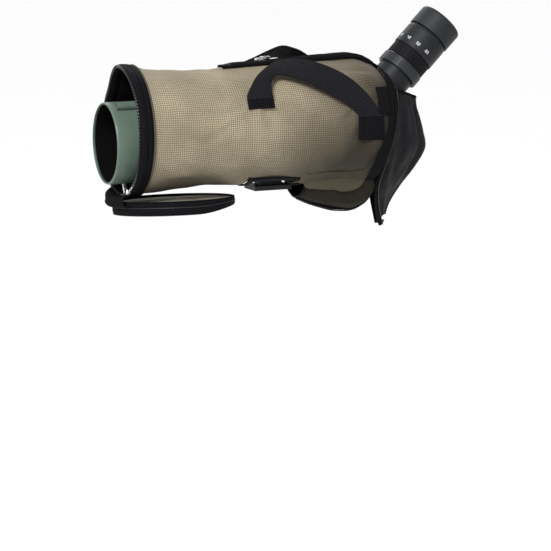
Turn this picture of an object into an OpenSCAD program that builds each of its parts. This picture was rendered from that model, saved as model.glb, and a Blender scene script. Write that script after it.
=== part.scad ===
// Angled 80 mm zoom spotting scope wearing its view-through fabric case.
// Millimetres. The origin is the centre of the tripod thread on the foot's bottom face.
// -X looks out of the objective, +X is the observer's end, +Z is up.

/* [Optical tube] */
// Height of the optical axis above the foot's bottom face
axis_z = 66; // [64:1:70]
// Outer radius of the sliding sunshade
shade_r = 49; // [48.5:0.5:51]
// X of the sunshade's front rim, fully extended
shade_front = -208; // [-212:1:-204]
// Length of the sunshade
shade_len = 90; // [86:1:92]
// Radius of the objective lenses
lens_r = 40.6; // [39:0.1:41]
// Radius of the barrel's seat inside the tripod collar
seat_r = 36; // [35:0.5:36]

/* [Eyepiece] */
// X at which the eyepiece's 45 degree axis crosses the optical axis
eye_x = 105; // [103:1:106]
// Outer radius of the eyecup
eyecup_r = 28.5; // [28:0.5:29.5]
// Distance along the eyepiece axis to the top of the eyecup
eyecup_top = 185; // [183:0.5:187]

/* [Case] */
// Height of the case's centre line
case_z = 80; // [79:0.5:81]
// Outer radius of the case's shell at its waist
case_r = 70.6; // [70.6:0.1:72]
// X of the front edge of the case's shell
case_front = -171; // [-175:1:-165]
// X of the case's rear edge at the height of its centre line
case_rear = 134; // [130:1:136]
// Radius of the round front cap
cap_r = 74; // [72:1:75]

/* [Hidden] */
$fn = 64;

paint_green = [0.36, 0.42, 0.38];
satin_black = [0.07, 0.07, 0.08];
rubber_black = [0.05, 0.05, 0.055];
webbing_black = [0.06, 0.06, 0.07];
khaki = [0.55, 0.50, 0.40];
steel = [0.75, 0.75, 0.77];
brass = [0.75, 0.60, 0.30];
glass = [0.75, 0.88, 0.90, 0.4];

tiny = 0.01;
fit = 0.05;                              // clearance between pieces fixed to each other
gap = 0.3;                               // clearance between pieces that move past each other

// Tube
felt_out = shade_r - 1.8;
felt_in = felt_out - 1;
tube_r = felt_in - gap;                  // barrel, under the sunshade
cell_r = lens_r + 3.4;                   // outside of the objective cell
tube_in = cell_r + fit;
barrel_front = -152;
barrel_step = -66;                       // where the barrel starts to taper
seat_half = 16;                          // half length of the collar's seat
flange_x = 20;                           // front face of the housing flange
flange_end = 26;
bore_r = seat_r - 3;

// Collar and foot
liner_in = seat_r + fit;
liner_out = seat_r + 1.5;
collar_out = seat_r + 7;
collar_half = 14;
foot_len = 48;
foot_w = 36;
foot_h = 5.5;
neck_w = 20;
bush_r = 5.5;
bush_h = 9;
thread_r = 2.6;                          // tapping radius of a 1/4-20 thread
boss_w = 13;                             // square boss the clamp screw goes through
boss_lift = 5;
screw_x = collar_out + 6;                // head of the clamp screw, under its knob
twist_hole_x = 15;
twist_hole_r = 2.25;

// Focus drive
shaft_z = axis_z + 52;
shaft_r = 3;
rod_z = axis_z + 26;
nut_x = 36.5;
nut_len = 8;

// Housing, as a side profile in X and Z
housing_half = 41;
housing_round = 60;                      // radius that rounds the housing's sides
housing_top = axis_z + 38;
housing_bottom = axis_z - 42;
wall = 2.5;
split_x = 112;
face_d = 62;                             // eyepiece distance of the slanted face

// Eyepiece stations, as distances along its axis
neck_d = 78;
lock_d = 96.5;
band_d = 110.8;
scale_d = 127.5;
head_d = 158.5;
eyecup_d = 158.9;
body_r = 24;
body_in = 21;

// Case
front_flare = 5.4;                       // how much wider the shell is at its front edge
rear_flare = 6.9;                        // and towards its rear edge
zip_x0 = -60;                            // the top zip runs along the straight part of the flare
zip_x1 = 100;
shell_t = 2.5;
lining_t = 2.5;
rim_front = case_front - 19;
rim_out = case_r + front_flare + 4.5;
rim_in = rim_out - 7;
// Shell radius along the case, as [x, r] pairs.
case_line = [
    [case_front, case_r + front_flare], [-150, case_r + 4.2], [-110, case_r + 1.2], [-75, case_r],
    [zip_x0, case_r + 0.4], [zip_x1, case_r + rear_flare], [124, case_r + rear_flare],
    [136, case_r + rear_flare - 1.5], [146, case_r + rear_flare - 7], [156, case_r + rear_flare - 17],
    [163, case_r + rear_flare - 28], [168, case_r + rear_flare - 41]
];
cap_x = -123;                            // centre of the cap, folded under the case
cap_top = -4;
cap_h = 16;
cap_tilt = 4;                            // the folded cap hangs askew, its near edge up
webbing_t = 1.6;

// ---------------------------------------------------------------- helpers
// Turns a shape that stands along Z so that it runs along +X on the optical axis.
module on_axis(x) translate([x, 0, axis_z]) rotate([0, 90, 0]) children();

// The same on the case's own centre line.
module on_case(x) translate([x, 0, case_z]) rotate([0, 90, 0]) children();

// Turns a shape that stands along Z so that it runs along the eyepiece axis.
module on_eye(d)
    translate([eye_x + d / sqrt(2), 0, axis_z + d / sqrt(2)]) rotate([0, 45, 0]) children();

module ring(r_out, r_in, h)
    difference() {
        cylinder(r = r_out, h = h);
        translate([0, 0, -1]) cylinder(r = r_in, h = h + 2);
    }

// A solid of revolution from [distance along the axis, radius] pairs.
module turned(profile)
    rotate_extrude() polygon([for (p = profile) [p[1], p[0]]]);

// Height of a lens face above its rim, at radius q.
function face_height(r, sag, q) =
    let (s = abs(sag), big = (r * r + s * s) / (2 * s))
    sign(sag) * (sqrt(big * big - q * q) - (big - s));

// A lens with a cylindrical rim from 0 to edge; a positive sag bulges, a negative one is hollow.
lens_steps = 8;
module lens(r, edge, sag_a, sag_b) turned(concat(
    [for (i = [0:lens_steps]) let (q = r * i / lens_steps) [-face_height(r, sag_a, q), q]],
    [for (i = [lens_steps:-1:0]) let (q = r * i / lens_steps) [edge + face_height(r, sag_b, q), q]]
));

// A closed solid between two grids of points with the same rows and columns.
module thick_sheet(outer, inner) {
    rows = len(outer);
    cols = len(outer[0]);
    n = rows * cols;
    function at(i, j) = i * cols + j;
    quads = concat(
        [for (i = [0:rows - 2]) for (j = [0:cols - 2])
            [at(i, j), at(i, j + 1), at(i + 1, j + 1), at(i + 1, j)]],
        [for (i = [0:rows - 2]) for (j = [0:cols - 2])
            [n + at(i, j), n + at(i + 1, j), n + at(i + 1, j + 1), n + at(i, j + 1)]],
        [for (j = [0:cols - 2]) [at(0, j + 1), at(0, j), n + at(0, j), n + at(0, j + 1)]],
        [for (j = [0:cols - 2])
            [at(rows - 1, j), at(rows - 1, j + 1), n + at(rows - 1, j + 1), n + at(rows - 1, j)]],
        [for (i = [0:rows - 2]) [at(i, 0), at(i + 1, 0), n + at(i + 1, 0), n + at(i, 0)]],
        [for (i = [0:rows - 2])
            [at(i + 1, cols - 1), at(i, cols - 1), n + at(i, cols - 1), n + at(i + 1, cols - 1)]]
    );
    polyhedron(
        points = concat([for (row = outer) each row], [for (row = inner) each row]),
        faces = [for (q = quads) each [[q[0], q[1], q[2]], [q[0], q[2], q[3]]]]
    );
}

// ---------------------------------------------------------------- collar
module tripod_collar() color(satin_black) difference() {
    union() {
        on_axis(-collar_half) cylinder(r = collar_out, h = 2 * collar_half);
        translate([-collar_half, -neck_w / 2, 3])
            cube([2 * collar_half, neck_w, axis_z - liner_out - 2]);
        translate([-foot_len / 2, -foot_w / 2, 0]) cube([foot_len, foot_w, foot_h]);
        translate([-boss_w / 2, -collar_out - boss_lift, axis_z - boss_w / 2])
            cube([boss_w, 14, boss_w]);
    }
    on_axis(-collar_half - 1) cylinder(r = liner_out, h = 2 * collar_half + 2);
    translate([0, 0, -1]) cylinder(r = bush_r, h = bush_h + 1);
    translate([twist_hole_x, 0, -1]) cylinder(r = twist_hole_r, h = 7);
    translate([0, -screw_x, axis_z]) rotate([-90, 0, 0]) cylinder(r = 2.5, h = 15);
}

module collar_liner() color(rubber_black)
    on_axis(-collar_half) ring(liner_out - fit / 2, liner_in, 2 * collar_half);

module thread_bush() color(brass) difference() {
    cylinder(r = bush_r - fit / 2, h = bush_h);
    translate([0, 0, -1]) cylinder(r = thread_r, h = bush_h + 2);
}

module clamp_screw() color(steel)
    translate([0, -screw_x, axis_z]) rotate([-90, 0, 0]) cylinder(r = 2.4, h = 11);

module clamp_knob() color(rubber_black)
    translate([0, -screw_x, axis_z]) rotate([90, 0, 0]) difference() {
        cylinder(r = 9, h = 7);
        for (a = [0:45:315]) rotate([0, 0, a]) translate([10.2, 0, -1]) cylinder(r = 2.4, h = 9);
    }

// ---------------------------------------------------------------- tube and objective
module sunshade() color(paint_green) on_axis(shade_front) turned([
    [0, felt_out - 0.6], [0, shade_r - 1.2], [0.5, shade_r - 0.4], [1.6, shade_r],
    [shade_len - 1, shade_r], [shade_len, shade_r - 1], [shade_len, felt_out],
    [3, felt_out], [1.6, felt_out - 0.6]
]);

module sunshade_felt() color(rubber_black)
    on_axis(shade_front + 3) ring(felt_out - fit / 2, felt_in, shade_len - 3);

// Aiming tube on the sunshade's upper far side.
sight_angle = 62;                        // above the +Y horizontal
sight_r = 5;
module sight_tube() color(paint_green) difference() {
    on_axis(shade_front + 7) rotate([0, 0, 180 - sight_angle]) union() {
        translate([0, shade_r + 3.2, 0]) cylinder(r = sight_r, h = 56);
        translate([-4, shade_r - 3, 0]) cube([8, 6, 56]);
    }
    on_axis(shade_front) cylinder(r = shade_r + fit / 2, h = shade_len + 4);
    on_axis(shade_front + 6) rotate([0, 0, 180 - sight_angle]) translate([0, shade_r + 4, 0])
        cylinder(r = sight_r - 2, h = 60);
}

module barrel() color(satin_black) on_axis(0) turned([
    [barrel_front, tube_in], [barrel_front, tube_r - 0.8], [barrel_front + 0.8, tube_r],
    [barrel_step, tube_r], [-26, seat_r + 4], [-seat_half, seat_r + 4], [-seat_half, seat_r],
    [seat_half, seat_r], [seat_half, seat_r + 4], [flange_x, seat_r + 4],
    [flange_x, seat_r + 6], [flange_end - fit, seat_r + 6], [flange_end - fit, bore_r],
    [-22, bore_r], [barrel_step + 2, tube_in]
]);

module objective_cell() color(satin_black) on_axis(-150) difference() {
    turned([
        [0, lens_r + fit], [0, cell_r - 0.6], [0.6, cell_r], [24, cell_r],
        [24, lens_r - 1.4], [17.5, lens_r - 1.4], [17.5, lens_r + fit]
    ]);
    translate([0, 0, 19]) ring(cell_r + 1, cell_r - 1.5, 2);
}

module objective_front_lens() color(glass) on_axis(-146) lens(lens_r, 3, 3, 3);

module objective_rear_lens() color(glass) on_axis(-141.5) lens(lens_r, 9 - fit, -3.2, -1);

// Its front face slopes to clear the bulge of the front lens.
module lens_spacer() color(satin_black) on_axis(-143 + fit / 2) turned([
    [0, lens_r], [0.25, lens_r - 1.2], [1.5 - fit, lens_r - 1.2], [1.5 - fit, lens_r]
]);

module lens_retainer() color(satin_black) on_axis(-149.5) ring(lens_r, lens_r - 1.8, 3.2);

module objective_o_ring() color(rubber_black)
    on_axis(-130) rotate_extrude() translate([cell_r - 0.75, 0]) circle(r = 0.7);

module light_baffles() color(rubber_black) for (b = [[-108, 37], [-84, 34.5]])
    on_axis(b[0]) ring(cell_r, b[1], 1.2);

// ---------------------------------------------------------------- focus drive
module focus_cell() color(satin_black) on_axis(-6) difference() {
    ring(bore_r - gap, 25, 12);
    translate([0, 0, 2.5]) cylinder(r = 27.2, h = 7);
}

module focus_lens() color(glass) on_axis(-3.4) lens(27.1, 6.8, -1.6, -2);

module focus_arm() color(steel) difference() {
    union() {
        translate([6 + tiny, 0, rod_z]) rotate([0, 90, 0]) cylinder(r = 2.5, h = nut_x + nut_len - 6);
        translate([nut_x, -2, rod_z - 2.5]) cube([nut_len, 4, shaft_z - rod_z]);
        translate([nut_x, 0, shaft_z]) rotate([0, 90, 0]) cylinder(r = 5.6, h = nut_len);
    }
    translate([nut_x - 1, 0, shaft_z]) rotate([0, 90, 0]) cylinder(r = shaft_r + fit, h = nut_len + 2);
}

module focus_shaft() color(steel)
    translate([29, 0, shaft_z]) rotate([0, 90, 0]) cylinder(r = shaft_r, h = 54.7);

// A knurled knob that stands along Z: grooves run along its rim.
module knurled(r, h, grooves, depth) difference() {
    turned([[0, 0], [0, r - 1], [1, r], [h - 1, r], [h, r - 1], [h, 0]]);
    for (a = [0:360 / grooves:359]) rotate([0, 0, a])
        translate([r + depth * 0.4, 0, -1]) cylinder(r = depth, h = h + 2, $fn = 16);
}

module coarse_knob() color(rubber_black) translate([60, 0, shaft_z]) rotate([0, 90, 0]) difference() {
    knurled(12, 18, 18, 1.3);
    translate([0, 0, -1]) cylinder(r = shaft_r + fit / 2, h = 25);
}

module fine_knob() color(rubber_black) translate([79, 0, shaft_z]) rotate([0, 90, 0]) difference() {
    knurled(8.5, 15, 14, 1.1);
    translate([0, 0, -1]) cylinder(r = shaft_r + fit, h = 6);
}

// ---------------------------------------------------------------- prism housing
// Side profile, grown outwards by s.
function slant(d, side) = [eye_x + (d + side) / sqrt(2), axis_z + (d - side) / sqrt(2)];
module housing_profile(s) polygon([
    [flange_end + wall - s, housing_bottom + wall - s],
    [flange_end + wall - s, housing_top - wall + s],
    [split_x - 6, housing_top - wall + s],
    slant(face_d - wall + s, -30 + wall - s),
    slant(face_d - wall + s, 30 - wall + s),
    [split_x + 8, housing_bottom + wall - s]
]);

module housing_solid(s) intersection() {
    translate([0, housing_half - wall + s, 0]) rotate([90, 0, 0])
        linear_extrude(2 * (housing_half - wall + s)) housing_profile(s);
    translate([0, 0, axis_z + 8]) rotate([0, 90, 0]) cylinder(r = housing_round - wall + s, h = 200);
}

module housing_shell() difference() {
    housing_solid(wall);
    housing_solid(0);
    on_axis(flange_end - 1) cylinder(r = bore_r, h = wall + 2);
    on_eye(face_d - wall - 5) cylinder(r = 20, h = wall + 10);
    translate([flange_end + wall, -4, housing_top - 6]) cube([30, 8, 12]);
}

module prism_housing() color(paint_green) {
    intersection() {
        housing_shell();
        translate([0, -60, 0]) cube([split_x - fit / 2, 120, 200]);
    }
    difference() {
        translate([flange_end, -9, housing_top]) cube([30, 18, 23]);
        translate([flange_end + wall, -7, housing_top - 1]) cube([24, 14, 21.5]);
        translate([flange_end + 20, 0, shaft_z]) rotate([0, 90, 0]) cylinder(r = shaft_r + fit, h = 20);
    }
}

module rear_housing() color(paint_green) difference() {
    housing_shell();
    translate([-100, -60, 0]) cube([100 + split_x + fit / 2, 120, 200]);
}

// Eight cap screws around the housing's split, four a side.
module housing_screws() color(steel) for (s = [-1, 1]) for (z = [-24, -8, 8, 24])
    translate([split_x - 9, s * (housing_half + fit), axis_z + z]) rotate([-90 * s, 0, 0]) difference() {
        cylinder(r = 2.8, h = 2);
        translate([0, 0, 0.8]) cylinder(r = 1.4, h = 2, $fn = 6);
    }

module prism_cage() color(satin_black) {
    for (s = [-1, 1]) translate([76, s > 0 ? 21.5 : -24, axis_z - 24]) cube([38, 2.5, 50]);
    translate([76, -21.5, axis_z - 27]) cube([34, 43, 3 - fit]);
    for (s = [-1, 1]) translate([76, s > 0 ? 21.5 : -24, axis_z - 27]) cube([34, 2.5, 3]);
}

prism_half = 21;
module prism_block(points) translate([0, prism_half, 0]) rotate([90, 0, 0])
    linear_extrude(2 * prism_half) polygon(points);

module roof_prism() color(glass) prism_block([
    [78, axis_z - 20], [78, axis_z + 22], [82, axis_z + 26], [111, axis_z - 9.6], [100, axis_z - 20]
]);

module relay_prism() color(glass) prism_block([
    [83.2, axis_z + 26], [slant(16, -20)[0] - 2, axis_z + 29], slant(16, -20), slant(16, 12),
    [112, axis_z - 9.0]
]);

module eyepiece_mount() color(satin_black) on_eye(face_d + fit) difference() {
    turned([
        [0, 20.2], [0, 27], [3, 27], [4, 25.4], [neck_d - face_d - 1, 25.4],
        [neck_d - face_d, 24.4], [neck_d - face_d, 20.2]
    ]);
    translate([0, 0, 8]) ring(28, 24.2, 1.8);
    translate([0, 0, neck_d - face_d - 10]) cylinder(r = 22 + fit, h = 12);
}

module mount_o_ring() color(rubber_black)
    on_eye(face_d + 8.9) rotate_extrude() translate([24.95, 0]) circle(r = 0.7);

// ---------------------------------------------------------------- eyepiece
slot_half = 1.7;
module eyepiece_body() color(satin_black) on_eye(0) difference() {
    turned([
        [neck_d - 9, 17.5], [neck_d - 9, 22], [neck_d + fit, 22], [neck_d + fit, body_r],
        [head_d - fit, body_r], [head_d - fit, body_in], [neck_d + 12, body_in], [neck_d + 12, 17.5]
    ]);
    for (a = [0, 180]) rotate([0, 0, a + 90]) {
        translate([0, -slot_half, 114]) cube([30, 2 * slot_half, 17]);
        translate([0, -slot_half, 136]) cube([30, 2 * slot_half, 17]);
    }
}

module lock_ring() color(satin_black) on_eye(lock_d) difference() {
    turned([[0, body_r + gap], [0, 27], [1, 28], [12.8, 28], [13.8, 27.2], [13.8, body_r + gap]]);
    for (a = [0:10:359]) rotate([0, 0, a]) translate([28.6, 0, 2.2]) cylinder(r = 0.9, h = 9.2, $fn = 16);
}

module zoom_ring() color(satin_black) on_eye(0) turned([
    [band_d, body_r + gap], [band_d, 25.2], [scale_d, 25.2], [scale_d, 27.6], [scale_d + 1, 28],
    [head_d - 4.5, 27.8], [head_d - 1.2, 27], [head_d - 0.4, 26.4], [head_d - 0.4, body_r + gap]
]);

module zoom_grip() color(rubber_black) on_eye(band_d + 0.4) difference() {
    turned([[0, 25.2 + fit], [0, 26.4], [0.6, 26.9], [15.6, 26.9], [16.2, 26.4], [16.2, 25.2 + fit]]);
    for (a = [0:12:359]) rotate([0, 0, a]) translate([27.4, 0, 1.4]) cylinder(r = 0.9, h = 13.2, $fn = 16);
}

// Lens cell with two guide pins that run in the body's straight slots.
module zoom_cell(d, r_lens) on_eye(d) {
    difference() {
        cylinder(r = body_in - gap, h = 8);
        translate([0, 0, -1]) cylinder(r = r_lens - 1.5, h = 10);
        translate([0, 0, 1.5]) cylinder(r = r_lens + fit, h = 5);
    }
    for (a = [0, 180]) rotate([0, 0, a + 90]) translate([body_in - gap - 0.8, 0, 4]) rotate([0, 90, 0])
        cylinder(r = 1.3, h = 3.6);
}

module zoom_cell_lower() color(brass) zoom_cell(118.5, 16);
module zoom_lens_lower() color(glass) on_eye(120.6) lens(16, 3.8, -1.2, -0.9);
module zoom_cell_upper() color(brass) zoom_cell(140.5, 17);
module zoom_lens_upper() color(glass) on_eye(142.9) lens(17, 3.2, 1.0, 1.0);
module field_lens() color(glass) on_eye(neck_d + 13.6) lens(body_in - fit, 2.4, 1.2, 1.6);

module eyepiece_head() color(satin_black) on_eye(head_d) turned([
    [-4, 15.2 + fit], [-4, body_in - fit], [0, body_in - fit], [0, 23.4], [16, 23.4],
    [17.5, 22], [18.5, 17.5], [17, 15.4], [15, 13.6],
    [11.6, 13.6], [11, 15.2 + fit]
]);

module eye_lens() color(glass) on_eye(head_d + 2) lens(15.2, 9 - fit, 1.2, 2.2);

module eyecup_sleeve() color(satin_black)
    on_eye(eyecup_d) ring(25.4, 23.4 + gap, 18);

module eyecup_rubber() color(rubber_black) on_eye(0) turned([
    [eyecup_d, 25.4 + fit], [eyecup_d, eyecup_r], [eyecup_top - 3.5, eyecup_r],
    [eyecup_top - 1.6, eyecup_r - 0.5], [eyecup_top - 0.4, eyecup_r - 1.6],
    [eyecup_top, eyecup_r - 3], [eyecup_top - 0.6, eyecup_r - 4.4],
    [eyecup_top - 4.2, 22.4], [eyecup_d + 18.2, 22.4], [eyecup_d + 18.2, 25.4 + fit]
]);

// ---------------------------------------------------------------- case
// Everything behind the case's leaning rear edge.
rear_lean = 8;
module behind_rear_edge(extra)
    translate([case_rear + extra, -120, case_z]) rotate([0, rear_lean, 0])
        translate([0, 0, -150]) cube([200, 240, 300]);

// The opening in the case's floor that the foot passes through.
module foot_opening() translate([-34, -38, -30]) cube([68, 76, 60]);

// A skin that follows the case's outside, from t0 to t1 off its surface.
module case_skin(t0, t1, x0, x1) {
    xs = concat([x0], [for (p = case_line) if (p[0] > x0 + 1 && p[0] < x1 - 1) p[0]], [x1]);
    n = len(xs) - 1;
    on_case(0) turned(concat(
        [for (x = xs) [x, lookup(x, case_line) + t1]],
        [for (i = [n:-1:0]) [xs[i], lookup(xs[i], case_line) + t0]]
    ));
}

module case_shell() color(khaki) difference() {
    case_skin(-shell_t, 0, case_front, 145);
    behind_rear_edge(0);
    foot_opening();
}

module case_lining() color(rubber_black) difference() {
    case_skin(-shell_t - lining_t, -shell_t - fit, case_front + 2, 145);
    behind_rear_edge(-2);
    foot_opening();
}

module rim_zip_tape() color(webbing_black) on_case(rim_front) turned([
    [0, rim_in + 1.5], [0, rim_out - 1.5], [1.2, rim_out - 0.4], [3, rim_out],
    [16, rim_out], [18.9, rim_out - 2.5], [18.9, rim_in], [2, rim_in]
]);

// Zip slider and its pull, parked low on the near side of the rim.
slider_angle = 64;                       // below the near horizontal
module rim_zip_slider() color(steel)
    translate([rim_front, 0, case_z]) rotate([180 + slider_angle, 0, 0]) difference() {
        union() {
            translate([-3.6, rim_in + 1.6, -4]) cube([3.3, 5, 8]);
            translate([-6.6, rim_in - 7, -2]) cube([3.3, 11, 4]);
        }
        translate([-7, rim_in - 4.5, 0]) rotate([0, 90, 0]) cylinder(r = 1.1, h = 5);
    }

hinge_z = -3;
module on_cap(z) translate([cap_x, 0, hinge_z]) rotate([-cap_tilt, 0, 0])
    translate([0, 0, z - hinge_z]) children();

module cap_disc() color(khaki) on_cap(cap_top - 5) cylinder(r = cap_r - 2.6, h = 5);

module cap_gusset() color(webbing_black) on_cap(cap_top - cap_h)
    turned([
        [0, cap_r - 4.5], [0, cap_r - 1.5], [2, cap_r], [cap_h - 2, cap_r], [cap_h, cap_r - 1.2],
        [cap_h, cap_r - 2.6 + fit], [cap_h - 5 - fit, cap_r - 2.6 + fit], [cap_h - 5 - fit, cap_r - 4.5]
    ]);

// Fabric strip at the bottom of the rim that the cap hangs from.
module cap_hinge() color(webbing_black)
    translate([rim_front - 3.4, -19, -1.2]) cube([3.4 - fit, 38, 8.2]);

tape_t = 2.6;
module top_zip_tape() color(webbing_black) intersection() {
    case_skin(fit, tape_t, zip_x0, zip_x1 + 20);
    translate([zip_x0, -8, case_z + 10]) cube([zip_x1 + 20 - zip_x0, 16, 100]);
}

// The slider rides a straight line that rises with the flare.
zip_rise = atan((rear_flare - 0.4) / (zip_x1 - zip_x0));
slider_x = -8;
slider_z = case_z + lookup(slider_x, case_line) + tape_t + gap;
module on_slider() translate([slider_x, 0, slider_z]) rotate([0, -zip_rise, 0]) children();

module top_zip_slider() color(steel) on_slider() difference() {
    translate([-6, -4, 0]) cube([12, 8, 4]);
    translate([-2, -5, 2.2]) cube([4, 10, 1]);
}

module top_zip_pull() color(steel) on_slider() difference() {
    union() {
        translate([1.3, -3.5, 4 + gap]) cube([10.7, 7, 1.2]);
        translate([1.3, -3.5, 4.9]) rotate([-90, 0, 0]) cylinder(r = 0.6, h = 7);
    }
    translate([8.5, 0, 4]) cylinder(r = 1.8, h = 4);
}

// Belly of the case behind the foot, slack between the open bottom zip and the rear edge.
// Rows: [x, how far it hangs off the shell at the keel, half angle it spans].
belly_rows = [[36, 15, 28], [50, 21, 30], [66, 26, 32], [82, 30, 32.5], [98, 31, 32], [110, 30, 31],
              [120, 26, 29], [128, 21, 26], [134, 12, 21], [138, 3, 15]];
belly_half = 43;
belly_t = 2;
function belly_point(b, a, extra) =
    let (r = lookup(b[0], case_line) + gap + b[1] * pow(max(cos(a * 90), 0), 0.75) + extra)
    [b[0], r * sin(a * b[2]), case_z - r * cos(a * b[2])];
function belly_grid(extra) =
    [for (b = belly_rows) [for (a = [-1:0.125:1]) belly_point(b, a, extra)]];
module bottom_flap() color(khaki) thick_sheet(belly_grid(0), belly_grid(belly_t));

// Webbing round the rear edge, and the gathered collar between it and the eyepiece.
gusset_t = 1.5;
module rear_gusset() color(webbing_black) {
    difference() {
        case_skin(fit, gusset_t, case_rear - 28, 145);
        behind_rear_edge(0);
        translate([0, -8.3, case_z]) cube([300, 16.6, 100]);
        translate([0, -belly_half, -60]) cube([300, 2 * belly_half, 85]);
        translate([86, -case_r - 15, case_z - 19]) cube([35, 2 * case_r + 30, 29]);
    }
    difference() {
        intersection() {
            case_skin(-2, 0, case_rear + 2, 168);
            behind_rear_edge(fit);
        }
        translate([120, -100, -10]) cube([80, 200, 132]);
        on_eye(40) cylinder(r = 30.5, h = 100);
    }
}

// Carrying handles: edge curves as [x, angle above the side's horizontal, lift off the shell].
near_upper = [[-51, 29, 0.8], [-50, 34, 1.5], [-43, 42, 3], [-32, 52, 5], [-11, 64, 7], [6, 70, 8],
              [24, 68, 9], [40, 64, 9], [56, 57, 8], [74, 48, 6], [90, 37, 4], [103, 25, 2.5],
              [112, 15, 1.5], [119, 7, 0.8]];
near_lower = [[-18, 29, 0.8], [-18.5, 33, 1.5], [-18, 40, 3], [-15, 46, 5], [-8, 50, 7], [3, 48, 8],
              [16, 43, 9], [28, 38, 9], [42, 32, 8], [56, 26, 6], [70, 20, 4], [79, 15, 2.5],
              [85, 11, 1.5], [88, 7, 0.8]];
far_upper = [[-51, 29, 0.8], [-50, 38, 2], [-45, 47, 3], [-35, 55, 4], [-22, 62, 5], [-8, 69, 7], [8, 80, 12],
             [22, 87, 16.5], [38, 85, 13], [60, 72, 8.5], [84, 54, 6], [100, 38, 4.5], [111, 22, 2.8],
             [119, 7, 1]];
far_lower = [[-18, 29, 0.8], [-17.5, 35, 2], [-16, 41, 3], [-12, 46, 4], [-6, 49, 5], [2, 51, 6.5],
             [12, 55, 9], [24, 59, 12], [38, 57, 12], [52, 49, 10], [66, 36, 7], [76, 26, 5], [83, 16, 2.8],
             [88, 7, 1]];

// Point of a handle's edge on the near side.
function case_point(p, extra) =
    let (r = lookup(p[0], case_line) + gusset_t + p[2] + extra)
    [p[0], -r * cos(p[1]), case_z + r * sin(p[1])];
function between(a, b, t) = a + (b - a) * t;
function ribbon(upper, lower, extra) =
    [for (i = [0:len(upper) - 1]) [for (t = [0:0.25:1])
        case_point(between(upper[i], lower[i], t), extra)]];

module handle(upper, lower)
    thick_sheet(ribbon(upper, lower, 0), ribbon(upper, lower, webbing_t));

module near_handle() color(webbing_black) handle(near_upper, near_lower);
module far_handle() color(webbing_black) mirror([0, 1, 0]) handle(far_upper, far_lower);

// Stitched ends of the webbing, bent round the shell: [x, lower angle, upper angle].
patch_t = 1.3;
patch_w = 33;
function patch_grid(x, low, high, extra) =
    [for (i = [0:4]) [for (dx = [0, patch_w / 2, patch_w])
        case_point([x + dx, between(low, high, i / 4), 0], extra)]];
module patch(x, low, high)
    thick_sheet(patch_grid(x, low, high, -patch_t), patch_grid(x, low, high, 0));

module handle_patches() color(webbing_black) for (m = [0, 1]) mirror([0, m, 0]) {
    patch(-51, 21, 27.2);
    patch(87, -13, 5.2);
}

// Hood that covers the eyepiece when the case is closed, here hanging behind it.
// Rows from the top seam to the tongue:
// [front z, back z, half width, front x, back x, how far the far lip is drawn back].
hood_rows = [
    [118, 103, 54, 146, 193, 0], [100, 85, 58, 146, 200, 2], [76, 62, 60, 143, 207, 6],
    [50, 42, 57, 138, 211, 14], [24, 20, 47, 133, 198, 20], [0, -2, 34, 131, 179, 20],
    [-26, -26, 20, 137, 165, 12], [-53, -53, 9, 147, 157, 3]
];
hood_t = 2.4;
function hood_point(h, a, in) =
    let (front = h[3] + h[5] * pow(max(sin(a), 0), 2))
    [
        front + (h[4] - in - front) * pow(max(cos(a), 0), 0.8),
        (h[2] - in) * sin(a),
        h[1] + (h[0] - h[1]) * (1 - cos(a))
    ];
function hood_grid(in) = [for (h = hood_rows) [for (a = [-90:15:90]) hood_point(h, a, in)]];
module rear_hood() color(webbing_black) thick_sheet(hood_grid(0), hood_grid(hood_t));

// Press stud on the near face of the tongue, square to the cloth there.
stud_row = [-42, -42, 13.5, 143, 160.2, 7];
stud_angle = -75;
stud_lean = 113;
stud_yaw = -79;
module hood_snap() color(steel)
translate(hood_point(stud_row, stud_angle, 0)) rotate([0, stud_lean, stud_yaw]) {
    translate([0, 0, 0.7]) cylinder(r = 3.4, h = 1.4);
    translate([0, 0, 2.1]) cylinder(r = 1.6, h = 1.1);
}

tripod_collar();
collar_liner();
thread_bush();
clamp_screw();
clamp_knob();
sunshade();
sunshade_felt();
sight_tube();
barrel();
objective_cell();
objective_front_lens();
objective_rear_lens();
lens_spacer();
lens_retainer();
objective_o_ring();
light_baffles();
focus_cell();
focus_lens();
focus_arm();
focus_shaft();
coarse_knob();
fine_knob();
prism_housing();
rear_housing();
housing_screws();
prism_cage();
roof_prism();
relay_prism();
eyepiece_mount();
mount_o_ring();
eyepiece_body();
lock_ring();
zoom_ring();
zoom_grip();
zoom_cell_lower();
zoom_lens_lower();
zoom_cell_upper();
zoom_lens_upper();
field_lens();
eyepiece_head();
eye_lens();
eyecup_sleeve();
eyecup_rubber();
case_shell();
case_lining();
rim_zip_tape();
rim_zip_slider();
cap_disc();
cap_gusset();
cap_hinge();
top_zip_tape();
top_zip_slider();
top_zip_pull();
bottom_flap();
rear_gusset();
near_handle();
far_handle();
handle_patches();
rear_hood();
hood_snap();
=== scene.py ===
import math
import random

import bmesh
import bpy
from mathutils import Matrix, Vector, noise


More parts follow.
